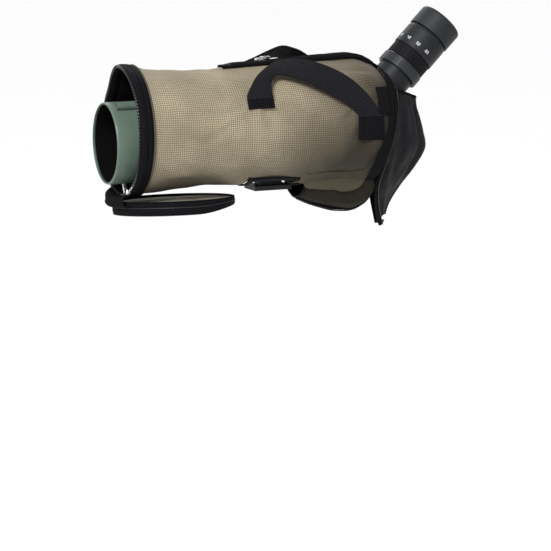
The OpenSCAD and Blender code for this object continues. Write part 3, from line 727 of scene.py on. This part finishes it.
coil("front_zip_coil", ring_path(-0.1897, 0.0768, 240), lambda p: Vector((-1, 0, 0)), "scope",
     wide=0.0040, tall=0.0011)
strip("front_rim_piping", ring_path(-0.1716, 0.0778), from_case_axis, round_section(0.0011), "piping", "scope",
      closed=True, slot="zip_tape")
strip("front_band_seam", ring_path(-0.1803, 0.0789), from_case_axis, round_section(0.0006), "dark_piping", "scope",
      closed=True, slot="zip_tape")

# ------------------------------------------------------------------ top zip
zip_xs = spaced([-0.060, 0.144], 0.0035)
zip_line = [case_at(x, 0) for x in zip_xs]
for side, name in ((-1, "top_zip_tape_near"), (1, "top_zip_tape_far")):
    ridge = [(0.0006, -0.0006), (0.0006, 0.0020), (0.0044, 0.0024), (0.0051, 0.0040), (0.0062, 0.0052),
            (0.0078, 0.0051), (0.0094, 0.0036), (0.0102, 0.0012), (0.0102, -0.0006)]
    verts, uvs = [], []
    for i, x in enumerate(zip_xs):
        rise = 0.62 * ramp(x, -0.060, -0.040) + 0.38 * ramp(x, -0.005, 0.040)
        for k in range(len(ridge) + 1):
            y, h = ridge[k % len(ridge)]
            if h > 0.0024:
                h = 0.0024 + (h - 0.0024) * rise + 0.0004 * noise.noise(Vector((x * 70, side * 2.0, k * 0.2)))
            verts.append(case_at(x, side * y / 0.075, h))
            uvs.append((x, k * 0.003))
    faces = grid_faces(len(zip_xs), len(ridge) + 1)
    faces += [tuple(range(len(ridge))), tuple(len(verts) - 1 - k for k in range(1, len(ridge) + 1))]
    piece(name, verts, faces, "tape", "scope", uvs=uvs,
          out=lambda p: Vector((0, p.y - side * 0.0055, p.z - CASE_Z - 0.0735 - 0.03 * max(p.x, 0))),
          stands_for=["top_zip_tape"] if side < 0 else (), slot="zip_tape")
coil("top_zip_coil", [p + Vector((0, 0, 0.0012)) for p in zip_line], from_case_axis, "scope", wide=0.0050)

# ------------------------------------------------------------------ handles
# Edges of each strap as (mm along the case, degrees up its side, mm off it)
NEAR_UPPER = [(-51, 29, 0.8), (-50, 34, 1.5), (-43, 42, 3), (-32, 52, 5), (-11, 64, 7), (6, 70, 8), (24, 68, 9),
              (40, 64, 9), (56, 57, 8), (74, 48, 6), (90, 37, 4), (103, 25, 2.5), (112, 15, 1.5), (119, 7, 0.8)]
NEAR_LOWER = [(-18, 29, 0.8), (-18.5, 33, 1.5), (-18, 40, 3), (-15, 46, 5), (-8, 50, 7), (3, 48, 8), (16, 43, 9),
              (28, 38, 9), (42, 32, 8), (56, 26, 6), (70, 20, 4), (79, 15, 2.5), (85, 11, 1.5), (88, 7, 0.8)]
FAR_UPPER = [(-51, 29, 0.8), (-50, 38, 2), (-45, 47, 3), (-35, 55, 4), (-22, 62, 5), (-8, 69, 7), (8, 80, 12),
             (22, 87, 16.5), (38, 85, 13), (60, 72, 8.5), (84, 54, 6), (100, 38, 4.5), (111, 22, 2.8),
             (119, 7, 1)]
FAR_LOWER = [(-18, 29, 0.8), (-17.5, 35, 2), (-16, 41, 3), (-12, 46, 4), (-6, 49, 5), (2, 51, 6.5),
             (12, 55, 9), (24, 59, 12), (38, 57, 12), (52, 49, 10), (66, 36, 7), (76, 26, 5), (83, 16, 2.8),
             (88, 7, 1)]
# Stitched ends as (front edge in metres, lowest and highest degrees up the side)
PATCHES = ((-0.051, 20, 30), (0.087, -13, 8))


def on_case(x, degrees_up, side, off):
    """A point over the case's side: side is -1 near and 1 far."""
    r = lookup(CASE_LINE, x) + off
    a = math.radians(degrees_up)
    return Vector((x, side * r * math.cos(a), CASE_Z + r * math.sin(a)))


def handle(name, upper, lower, side, body, node):
    """A strap between its two edges. Its cloth sheet is as long as its run over the case."""
    top, low = (smooth_line([on_case(x / 1000, up, side, 0.0015 + off / 1000) for x, up, off in edge], 8)
                for edge in (upper, lower))
    verts, uvs, run, cols = [], [], 0.0, 9
    for i, (a, b) in enumerate(zip(top, low)):
        if i:
            run += ((a + b) / 2 - (top[i - 1] + low[i - 1]) / 2).length
        out = from_case_axis((a + b) / 2)
        for k in range(cols):
            t = k / (cols - 1)
            verts.append(a.lerp(b, t) + out * (0.0008 + 0.0006 * math.sin(math.pi * t)))
            uvs.append((run, t * 0.028))
    faces = grid_faces(len(top), cols)
    ob = piece(name, verts, faces, "webbing", None, uvs=uvs, out=from_case_axis,
               then=[solid(0.0017), rounded(0.0004)])
    finish_piece(ob, body, stands_for=[node], slot="webbing")


handle("near_handle_strap", NEAR_UPPER, NEAR_LOWER, -1, "handle_near", "near_handle")
handle("far_handle_strap", FAR_UPPER, FAR_LOWER, 1, "handle_far", "far_handle")

for side, name in ((-1, "handle_ends_near"), (1, "handle_ends_far")):
    verts, uvs, faces = [], [], []
    for x0, low, high in PATCHES:
        base = len(verts)
        rows, cols = 9, 9
        for i in range(rows):
            up = low + (high - low) * i / (rows - 1)
            for k in range(cols):
                x = x0 + 0.033 * k / (cols - 1)
                verts.append(on_case(x, up, side, 0.0022))
                uvs.append((math.radians(up) * CASE_ARC, x))
        faces += grid_faces(rows, cols, base=base)
    # The stitched ends take the webbing copy with painted shade
    piece(name, verts, faces, "webbing_painted_shade", "scope", uvs=uvs, out=from_case_axis,
          stands_for=["handle_patches"] if side < 0 else (), slot="webbing",
          then=[solid(0.0015), rounded(0.0003)])


def stitches(name, lines, look, body, slot, length=0.0026, gap=0.0014, r=0.00032):
    """Short raised threads along lines of surface points."""
    verts, faces = [], []
    for line in lines:
        left = 0.0
        for a, b in zip(line, line[1:]):
            d = b - a
            n = d.length
            if n < 1e-6:
                continue
            d /= n
            out = from_case_axis(a)
            side = d.cross(out).normalized()
            s = left
            while s + length < n + 1e-6:
                p, q = a + d * s, a + d * (s + length)
                base = len(verts)
                for c, lift in ((p, 0.0), ((p + q) / 2, r * 1.2), (q, 0.0)):
                    for k in range(5):
                        w = 2 * math.pi * k / 5
                        verts.append(c + out * (lift + r * math.sin(w)) + side * r * math.cos(w))
                for row in (0, 1):
                    for k in range(5):
                        faces.append((base + row * 5 + k, base + row * 5 + (k + 1) % 5,
                                      base + row * 5 + 5 + (k + 1) % 5, base + row * 5 + 5 + k))
                s += length + gap
            left = s - n if s > n else 0.0
    return piece(name, verts, faces, look, body, slot=slot)


for side, name in ((-1, "handle_stitching_near"), (1, "handle_stitching_far")):
    lines = []
    for x0, low, high in PATCHES:
        x1, x2, a1, a2 = x0 + 0.003, x0 + 0.030, low + 1.6, high - 2.5
        box = [(x1, a1), (x2, a1), (x2, a2), (x1, a2), (x1, a1)]
        for p, q in list(zip(box, box[1:])) + [((x1, a1), (x2, a2)), ((x1, a2), (x2, a1))]:
            lines.append([on_case(p[0] + (q[0] - p[0]) * k / 6, p[1] + (q[1] - p[1]) * k / 6, side, 0.0020)
                          for k in range(7)])
    stitches(name, lines, "dark_piping", "scope", "webbing")

# ------------------------------------------------------------------ front cap, folded under the case
CAP_X, CAP_TOP, CAP_R, CAP_FACE_R = -0.123, -0.004, 0.074, 0.0715
rings = spaced([0.0, CAP_FACE_R], 0.0042)
spokes = 96
verts, uvs = [], []
for i, r in enumerate(rings):
    for k in range(spokes + 1):
        w = 2 * math.pi * k / spokes
        x, y = r * math.cos(w), r * math.sin(w)
        q = r / CAP_FACE_R
        crown = 0.0022 * (1 - q ** 4) - 0.0026
        dent = 0.0009 * noise.noise(Vector((x * 30, y * 30, 2.0))) * (1 - q ** 3)
        verts.append(Vector((CAP_X + x, y, CAP_TOP + crown - 0.0010 + dent)))
        uvs.append((x, y))
cap_cloth = piece("front_cap_face", verts, grid_faces(len(rings), spokes + 1), "khaki", None, uvs=uvs,
                  out=lambda p: Vector((0, 0, 1)))
settle(cap_cloth, [i for i in range(len(verts)) if i >= (len(rings) - 2) * (spokes + 1) or i < spokes + 1],
       frames=10, cap=0.0012, pressure=0.0, gravity=0.4)
add_modifiers(cap_cloth, WELD, solid(0.0030, -1))
finish_piece(cap_cloth, "front_cap", ["cap_disc"], "khaki_weave")


def hang(ob):
    """Tilts a piece of the folded cap about its hinge: the near edge hangs a little higher."""
    for v in ob.data.vertices:
        v.co.z = CAP_TOP + (v.co.z - CAP_TOP) * (1 - 0.42 * ramp(v.co.x, -0.120, -0.049))
    at = Vector((0, 0, -0.003))
    tilt = Matrix.Rotation(math.radians(-4), 4, "X")
    ob.data.transform(Matrix.Translation(at) @ tilt @ Matrix.Translation(-at))


def from_cap(p):
    return Vector((p.x - CAP_X, p.y, 0)).normalized()


def cap_ring(name, profile, look, body, n=144, out=None, **more):
    """A ring round the folded cap's middle from a (radius, z) profile."""
    verts, uvs, run = [], [], [0.0]
    for a, b in zip(profile, profile[1:]):
        run.append(run[-1] + math.dist(a, b))
    for k in range(n + 1):
        w = 2 * math.pi * k / n
        for (r, z), v in zip(profile, run):
            ripple = 0.0005 * noise.noise(Vector((3 * math.cos(w), 3 * math.sin(w), z * 60)))
            verts.append(Vector((CAP_X + (r + ripple) * math.cos(w), (r + ripple) * math.sin(w), z)))
            uvs.append((w * CAP_R, v))
    mid = sum(r for r, _ in profile) / len(profile)
    high = sum(z for _, z in profile) / len(profile)
    ob = piece(name, verts, grid_faces(n + 1, len(profile)), look, None, uvs=uvs,
               out=out or (lambda p: p - Vector((CAP_X, 0, high)) - from_cap(p) * mid))
    add_modifiers(ob, WELD)
    hang(ob)
    finish_piece(ob, body, **more)


cap_ring("front_cap_band", [
    (0.0712, -0.0085), (0.0712, -0.0058), (0.0722, -0.0048), (0.0734, -0.0052), (0.0739, -0.0075),
    (0.0740, -0.0100), (0.0736, -0.0110), (0.0740, -0.0118), (0.0741, -0.0150), (0.0738, -0.0180),
    (0.0730, -0.0195), (0.0718, -0.0199), (0.0704, -0.0192), (0.0700, -0.0170), (0.0706, -0.0085),
    (0.0712, -0.0085)], "tape", "front_cap", stands_for=["cap_gusset"], slot="zip_tape")
cap_ring("front_cap_lining", [
    (0.0002, -0.0098), (0.030, -0.0100), (0.060, -0.0102), (0.0698, -0.0110), (0.0701, -0.0180)],
    "lining", "front_cap", slot="black_lining", out=lambda p: Vector((0, 0, -1)))


def circle(r, z, n=200):
    ways = [2 * math.pi * k / n for k in range(n)]
    return [Vector((CAP_X + r * math.cos(w), r * math.sin(w), z)) for w in ways]


for ob in (cap_cloth,
           coil("front_cap_coil", circle(0.0718, -0.0198, 240), lambda p: Vector((0, 0, -1)), "front_cap",
                wide=0.0040, tall=0.0010),
           strip("front_cap_piping", circle(0.0728, -0.0047), from_cap, round_section(0.0011), "dark_piping",
                 "front_cap", closed=True, slot="zip_tape"),
           strip("front_cap_seam", circle(0.0739, -0.0112), from_cap, round_section(0.0007), "coil", "front_cap",
                 closed=True, slot="zip_tape")):
    hang(ob)

# The fabric strip between rim and cap, which on the real case bends as the cap swings; here it is built in one
# shape, with the cap folded under
verts, uvs = [], []
for i in range(17):
    a = i / 16
    for k in range(21):
        y = -0.033 + 0.066 * k / 20
        rim_z = CASE_Z - math.sqrt(0.0768 ** 2 - y * y)
        edge_x = CAP_X - math.sqrt(0.0735 ** 2 - y * y)
        p0, p1 = Vector((-0.1892, y, rim_z)), Vector((edge_x, y, -0.0105 - 0.0698 * y))
        bunch = 0.0014 * math.sin(a * 9.0) + 0.0022 * noise.noise(Vector((y * 90, a * 3.2, 5.0)))
        bulge = Vector((-0.0100, 0, -0.0030)) * math.sin(math.pi * a) ** 0.8
        fold = Vector((-0.8, 0, 0.5)) * (bunch * math.sin(math.pi * a))
        verts.append(p0.lerp(p1, a) + bulge + fold)
        uvs.append((y, a * 0.02))
flap = piece("front_cap_hinge_cloth", verts, grid_faces(17, 21), "black_weave", None, uvs=uvs,
             out=lambda p: Vector((-1, 0, -0.2)),
             then=[solid(0.0022), FINER])
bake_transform(flap)
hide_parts("cap_hinge")

# ------------------------------------------------------------------ belly, and the panel edge above it
# Rows of the belly as (mm along the case, mm it stands off in the middle, degrees it reaches each way)
BELLY = [(36, 15, 28), (50, 21, 30), (66, 26, 32), (82, 30, 32.5), (98, 31, 32), (110, 30, 31), (120, 26, 29),
         (128, 21, 26), (134, 12, 21), (138, 3, 15)]
belly_rows = smooth_line(BELLY, 3)
verts, uvs, cols = [], [], 41


def belly_at(row, a, off=0.0):
    """A point of the belly: a runs from -1 on the near side to 1 on the far side."""
    x = row.x / 1000
    r = lookup(CASE_LINE, x) + 0.0013 + row.y / 1000 * max(math.cos(a * math.pi / 2), 0) ** 0.75 + off
    w = math.radians(a * row.z)
    return Vector((x, r * math.sin(w), CASE_Z - r * math.cos(w)))


for i, row in enumerate(belly_rows):
    for k in range(cols):
        a = -1 + 2 * k / (cols - 1)
        hold = (1 - a * a) * math.sin(math.pi * min(1.0, 0.12 + i / len(belly_rows)))
        slack = (0.0016 * math.sin(7.5 * a + 2.0 * i / len(belly_rows)) + 0.0022 * noise.noise(
            Vector((row.x * 0.045, a * 2.6, 4.0)))) * hold
        verts.append(belly_at(row, a, min(slack, 0.0006)))
        uvs.append((row.x / 1000, a * row.z / 57.3 * 0.1))
# The belly wears the khaki copy with painted shade
belly = piece("belly_flap", verts, grid_faces(len(belly_rows), cols), "khaki_painted_shade", None, uvs=uvs,
              out=lambda p: Vector((0, p.y, p.z - 0.03)))
settle(belly, [i for i in range(len(verts)) if i % cols in (0, 1, cols - 2, cols - 1)],
       frames=12, cap=0.0012, pressure=0.0, gravity=0.6)
add_modifiers(belly, solid(0.0018))
finish_piece(belly, "scope", stands_for=["bottom_flap"], slot="khaki_weave")

keel = [belly_at(row, -0.10, 0.0005) for row in belly_rows]


def under(p):
    return Vector((0, p.y, p.z - 0.03)).normalized()


strip("belly_keel_band", keel, under, band_section(0.0125, 0.0024, -0.0004), "tape", "scope", slot="zip_tape")
coil("belly_keel_coil", [p + Vector((0, -0.0006, -0.0022)) for p in keel], under, "scope", wide=0.0050)
strip("belly_front_binding", [belly_at(belly_rows[0], -1 + k / 10, 0.0004) for k in range(21)],
      lambda p: Vector((-1, 0, 0)), round_section(0.0016), "tape", "scope", slot="zip_tape")


def belly_lift(x, deg_down):
    """How far the belly stands off the shell at an angle below the horizontal."""
    drop = lookup([(b[0] / 1000, b[1] / 1000) for b in BELLY], x)
    half = lookup([(b[0] / 1000, b[2]) for b in BELLY], x)
    a = (90 - deg_down) / half
    if abs(a) >= 1 or x < 0.034:
        return 0.0
    return 0.0013 + drop * math.cos(a * math.pi / 2) ** 0.75


# Both side panels end below in a turned hem that lies over the belly's edge: (x, degrees down the side)
HEM = [(0.026, 64), (0.036, 66.5), (0.050, 65.5), (0.066, 64), (0.082, 64), (0.096, 63.5), (0.108, 60.5),
       (0.116, 55.5), (0.121, 49), (0.124, 41)]
for side, name in ((-1, "side_panel_hem_near"), (1, "side_panel_hem_far")):
    line = smooth_line([(x, d, 0) for x, d in HEM], 5)
    verts, uvs, cols = [], [], 13
    for i, q in enumerate(line):
        wob = 0.0009 * noise.noise(Vector((i * 0.22, side * 3.0, 1.0)))
        turn_in = 0.010 * ramp(q.x, 0.090, 0.124)
        for k in range(cols):
            c = k / (cols - 1)
            x, d = q.x - turn_in * (1 - c), q.y - 15 * (1 - c) * (1 - 0.5 * ramp(q.x, 0.100, 0.124))
            lift = max(0.0004 + 0.0030 * c, belly_lift(x, d) + 0.0008 + 0.0018 * c) + wob * c
            verts.append(on_case(x, -d, side, lift))
            uvs.append((x, d / 57.3 * 0.077))
    piece(name, verts, grid_faces(len(line), cols), "khaki", "scope", uvs=uvs, out=from_case_axis,
          slot="khaki_weave", then=[solid(0.0018), rounded(0.0005), FINER])

    frame_line = [on_case(-0.040 + 0.080 * k / 16, -(59.2 - 1.2 * math.cos(math.pi * (k / 8 - 1))), side, 0.0006)
                  for k in range(17)]
    strip(name.replace("side_panel_hem", "foot_opening_zip"), frame_line, from_case_axis,
          band_section(0.0085, 0.0020, -0.0002), "tape", "scope", slot="zip_tape")

# The tripod side opening's front and rear edges
for x, name in ((-0.0355, "foot_opening_zip_front"), (0.0355, "foot_opening_zip_rear")):
    edge = [case_at(x, math.radians(180 - 30 + 60 * k / 12), 0.0006) for k in range(13)]
    strip(name, edge, from_case_axis, band_section(0.0080, 0.0020, -0.0002), "tape", "scope", slot="zip_tape")

# ------------------------------------------------------------------ rear edge, collar round the eyepiece
edge_turns = [2 * math.pi * k / 180 for k in range(180)]
path = [case_at(rear_edge_x(t), t, -0.0006) for t in edge_turns]
strip("rear_edge_binding", path, from_case_axis, [(s * 0.0050, 0.0024 * math.cos(s * 1.3)) for s in
      (-1, -0.6, -0.2, 0.2, 0.6, 1)] + [(0.0045, -0.0012), (-0.0045, -0.0012)], "tape", "scope", closed=True,
      slot="black_weave")

verts, uvs = [], []
xs = spaced([0.136, 0.168], 0.0022)
span, cols = math.radians(118), 49
for i, x in enumerate(xs):
    for k in range(cols):
        t = -span / 2 + span * k / (cols - 1)
        gather = 0.0008 * math.sin(t * 26) * (i / len(xs))
        p = case_at(x, t, gather - 0.0006)
        p.z = max(p.z, 0.1225)
        verts.append(p)
        uvs.append((x, t * 0.07))


def inside_eyepiece(i, k):
    """Whether a quad of the collar cloth lies within the eyepiece, or too low to show."""
    a = i * cols + k
    p = sum((verts[b] for b in (a, a + 1, a + cols, a + cols + 1)), Vector()) / 4
    d = p - Vector((EYE_X, 0, AXIS_Z))
    low = (d - EYE_DIR * d.dot(EYE_DIR)).length < 0.0285
    return low or p.z < 0.1235


piece("eyepiece_collar_cloth", verts, grid_faces(len(xs), cols, skip=inside_eyepiece), "black_weave", "scope",
      uvs=uvs, out=lambda p: p - Vector((0.12, 0, 0.1)), stands_for=["rear_gusset"], slot="black_weave",
      then=[solid(0.0016, -1), FINER])

# Black panels between the khaki sides and the rear edge, wider low down
for side, name in ((-1, "rear_panel_near"), (1, "rear_panel_far")):
    verts, uvs, rows, cols = [], [], 7, 57
    for q in range(rows):
        for k in range(cols):
            d = -40 + 145 * k / (cols - 1)
            t = side * math.radians(45 + d)
            low = math.exp(-((d - 82) / 26) ** 2)
            reach = 0.0065 + 0.0100 * low + 0.0050 * math.exp(-((d - 22) / 16) ** 2)
            x = rear_edge_x(t) - 0.0005 - reach * (1 - q / (rows - 1))
            lump = 0.0004 * noise.noise(Vector((x * 60, d * 0.08, side)))
            verts.append(case_at(x, t, 0.0034 + 0.0026 * low + lump))
            uvs.append((t * 0.077, x))
    piece(name, verts, grid_faces(rows, cols), "black_weave", "scope", uvs=uvs, out=from_case_axis,
          slot="black_weave", then=[solid(0.0014), FINER])

# Webbing tab behind the handle's end
for side, name in ((-1, "rear_tab_near"), (1, "rear_tab_far")):
    verts, uvs, rows, cols = [], [], 11, 7
    for i in range(rows):
        for k in range(cols):
            x = 0.1135 + 0.0150 * k / (cols - 1)
            verts.append(on_case(x, 10 + 23 * i / (rows - 1), side, 0.0046 + 0.0004 * math.sin(i * 1.3)))
            uvs.append((i * 0.003, x))
    # The tabs take the webbing copy with painted shade
    piece(name, verts, grid_faces(rows, cols), "webbing_painted_shade", "scope", uvs=uvs, out=from_case_axis, slot="webbing",
          then=[solid(0.0015), rounded(0.0003)])

# ------------------------------------------------------------------ rear hood
# Rows down the hood in mm: heights of its middle and its edges, half width, x of the edges and of the
# middle, and how far its sides bow back
HOOD = [(118, 103, 54, 146, 193, 0), (100, 85, 58, 146, 200, 2), (76, 62, 60, 143, 207, 6),
        (50, 42, 57, 138, 211, 14), (24, 20, 47, 133, 198, 20), (0, -2, 34, 131, 179, 20),
        (-26, -26, 20, 137, 165, 12), (-53, -53, 9, 147, 157, 3)]
rows = smooth_line([(h[0], h[1], h[2]) for h in HOOD], 8)
deep = smooth_line([(h[3], h[4], h[5]) for h in HOOD], 8)
# Creases that fan down the hood as [angle at the top, angle at the tongue, half width, depth]
CREASES = [(-70, -52, 6, 2.0), (-58, -34, 6, 4.6), (-46, -18, 6, -2.6), (-34, -2, 7, 5.2), (-18, 12, 6, -2.8),
           (-4, 24, 7, 4.6), (12, 36, 6, -2.4), (26, 46, 8, 3.6), (48, 58, 9, 2.6)]
verts, uvs, cols = [], [], 73
for i, (h, d) in enumerate(zip(rows, deep)):
    q = i / (len(rows) - 1)
    for k in range(cols):
        deg = -90 + 180 * k / (cols - 1)
        a = math.radians(deg)
        c = max(math.cos(a), 0.0) ** 0.8
        front = d.x + d.z * max(math.sin(a), 0.0) ** 2
        x = front + (d.y - front) * c
        y = h.z * math.sin(a)
        z = h.y + (h.x - h.y) * (1 - math.cos(a))
        crease = sum(-cut * math.exp(-((deg - a0 - (a1 - a0) * q) / wide) ** 2)
                     for a0, a1, wide, cut in CREASES)
        lump = 2.0 * noise.noise(Vector((x * 0.03, y * 0.035, z * 0.03)))
        body = math.sin(math.pi * min(1.0, 0.10 + 0.84 * q)) * min(1.0, (90 - abs(deg)) / 18)
        pull = min(crease + lump, 0.6) * body
        out = Vector((c + 0.2, math.sin(a) * 0.8, 0)).normalized()
        verts.append((Vector((x - 0.5, y, z)) + out * pull) / 1000)
        uvs.append((y / 1000, q * 0.19))
hood = piece("rear_hood_cloth", verts, grid_faces(len(rows), cols), "hood", None, uvs=uvs,
             out=lambda p: p - Vector((0.15, 0, 0.03)))
settle(hood, [i for i in range(len(verts)) if i < 2 * cols or i % cols < 2 or i % cols > cols - 3],
       frames=12, cap=0.0030, pressure=0.0, gravity=0.4)
add_modifiers(hood, solid(0.0022, -1), FINER)
finish_piece(hood, "hood", stands_for=["rear_hood"], slot="hood_fabric")
for s, name in ((0, "rear_hood_piping_near"), (cols - 1, "rear_hood_piping_far")):
    edge = [hood.data.vertices[i * cols + s].co.copy() for i in range(len(rows))]
    strip(name.replace("piping", "binding"), edge, lambda p: Vector((-1, 0, 0)), round_section(0.0023, 10),
          "black_weave", "hood", slot="hood_fabric")
    strip(name, [p + Vector((0.0030, (0.0016 if s else -0.0016), 0)) for p in edge],
          lambda p: Vector((-1, 0, 0)), round_section(0.0006), "piping", "hood", slot="hood_fabric")
edge = [hood.data.vertices[k].co.copy() for k in range(cols)]
strip("rear_hood_top_binding", edge, lambda p: Vector((0, 0, 1)), round_section(0.0016), "dark_piping", "hood",
      slot="hood_fabric")


# ------------------------------------------------------------------ zoom scale
DIGITS = {  # strokes on a 2 by 4 lattice
    "2": [(0, 4), (2, 4), (2, 2), (0, 2), (0, 0), (2, 0)],
    "3": [(0, 4), (2, 4), (2, 2), (0.6, 2), (2, 2), (2, 0), (0, 0)],
    "4": [(0, 4), (0, 2), (2, 2), (2, 4), (2, 0)],
    "5": [(2, 4), (0, 4), (0, 2), (2, 2), (2, 0), (0, 0)],
    "6": [(2, 4), (0, 4), (0, 0), (2, 0), (2, 2), (0, 2)],
    "0": [(0, 0), (2, 0), (2, 4), (0, 4), (0, 0)],
}
RING_R, SCALE_D = 0.02795, 0.1345  # the zoom ring's radius and the figures' place along the eyepiece
STROKE = 0.00019  # half a stroke's width
side_dir = Vector((0, 1, 0))
up_dir = EYE_DIR.cross(side_dir)


def on_ring(d, turn, r):
    """A point round the eyepiece: turn is 0 on the side that faces the case's top."""
    return (Vector((EYE_X, 0, AXIS_Z)) + EYE_DIR * d
            + (side_dir * math.sin(turn) - up_dir * math.cos(turn)) * r)


verts, faces = [], []
for index, label in enumerate(["20", "30", "40", "50", "60"]):
    middle = math.radians(-211 + 31 * index)
    for n_char, ch in enumerate(label):
        pts = [(x * 0.00090 + (n_char - 1) * 0.0028 + 0.0005, y * 0.00080) for x, y in DIGITS[ch]]
        for (xa, ya), (xb, yb) in zip(pts, pts[1:]):
            length = math.hypot(xb - xa, yb - ya)
            if length < 1e-6:
                continue
            tx, ty = (xb - xa) / length * STROKE, (yb - ya) / length * STROKE
            base = len(verts)
            for px, py in ((xa - tx - ty, ya - ty + tx), (xb + tx - ty, yb + ty + tx),
                           (xb + tx + ty, yb + ty - tx), (xa - tx + ty, ya - ty - tx)):
                for r in (RING_R - 0.0002, RING_R + 0.00010):
                    verts.append(on_ring(SCALE_D + py, middle + px / RING_R, r))
            faces += [(base + 1, base + 3, base + 5, base + 7), (base, base + 2, base + 3, base + 1),
                      (base + 2, base + 4, base + 5, base + 3), (base + 4, base + 6, base + 7, base + 5),
                      (base + 6, base, base + 1, base + 7), (base, base + 6, base + 4, base + 2)]
piece("zoom_scale_numbers", verts, faces, "print", "zoom", smooth=False, slot="scale_black")

# ------------------------------------------------------------------ camera, floor and light
AZ, EL, ROLL = math.radians(-21.98), math.radians(9.49), math.radians(-0.65)
back = Vector((math.sin(AZ) * math.cos(EL), -math.cos(AZ) * math.cos(EL), math.sin(EL)))
right = (-back).cross(Vector((0, 0, 1))).normalized()
up = right.cross(-back)
right, up = (right * math.cos(ROLL) + up * math.sin(ROLL), -right * math.sin(ROLL) + up * math.cos(ROLL))
cam = bpy.data.cameras.new("camera")
cam.sensor_width = 36
cam.lens = 2400 / 551 * 36
cam.clip_end = 50
camera = bpy.data.objects.new("camera", cam)
bpy.context.scene.collection.objects.link(camera)
LOOK_AT, DISTANCE = Vector((0.00864, 0, -0.1088)), 2.9606
spot = LOOK_AT + back * DISTANCE
camera.matrix_world = Matrix.Translation(spot) @ Matrix((right, up, back)).transposed().to_4x4()
bpy.context.scene.camera = camera

floor_mesh = bpy.data.meshes.new("floor")
HALF, LEVEL = 60, -0.75
corners = [(x * HALF, y * HALF, LEVEL) for x, y in ((-1, -1), (1, -1), (1, 1), (-1, 1))]
floor_mesh.from_pydata(corners, [], [(0, 1, 2, 3)])
floor = bpy.data.objects.new("floor", floor_mesh)
bpy.context.scene.collection.objects.link(floor)
paper = Nodes("paper_floor", rough=0.9)
paper.colour(paper.mix(paper.noise(3, 2), (0.96, 0.96, 0.96), (0.98, 0.98, 0.98)))
floor_mesh.materials.append(paper.m)

world = bpy.data.worlds.new("studio")
world.use_nodes = True
world.node_tree.nodes["Background"].inputs[0].default_value = (1, 1, 1, 1)
world.node_tree.nodes["Background"].inputs[1].default_value = 1.0
bpy.context.scene.world = world


def lamp(name, at, towards, size, power):
    light = bpy.data.lights.new(name, "AREA")
    light.shape = "RECTANGLE"
    light.size, light.size_y = size
    light.energy = power
    ob = bpy.data.objects.new(name, light)
    bpy.context.scene.collection.objects.link(ob)
    d = Vector(towards) - Vector(at)
    ob.matrix_world = Matrix.Translation(at) @ d.to_track_quat("-Z", "Y").to_matrix().to_4x4()


lamp("key", (-1.3, -1.5, 1.5), (-0.03, 0, 0.09), (0.7, 0.7), 125)
lamp("fill", (1.5, -1.4, 1.0), (0.1, 0, 0.1), (0.5, 1.0), 6)
lamp("rim", (0.4, 1.5, 1.3), (0.05, 0, 0.1), (1.2, 0.7), 14)

bpy.context.scene.view_settings.view_transform = "Standard"

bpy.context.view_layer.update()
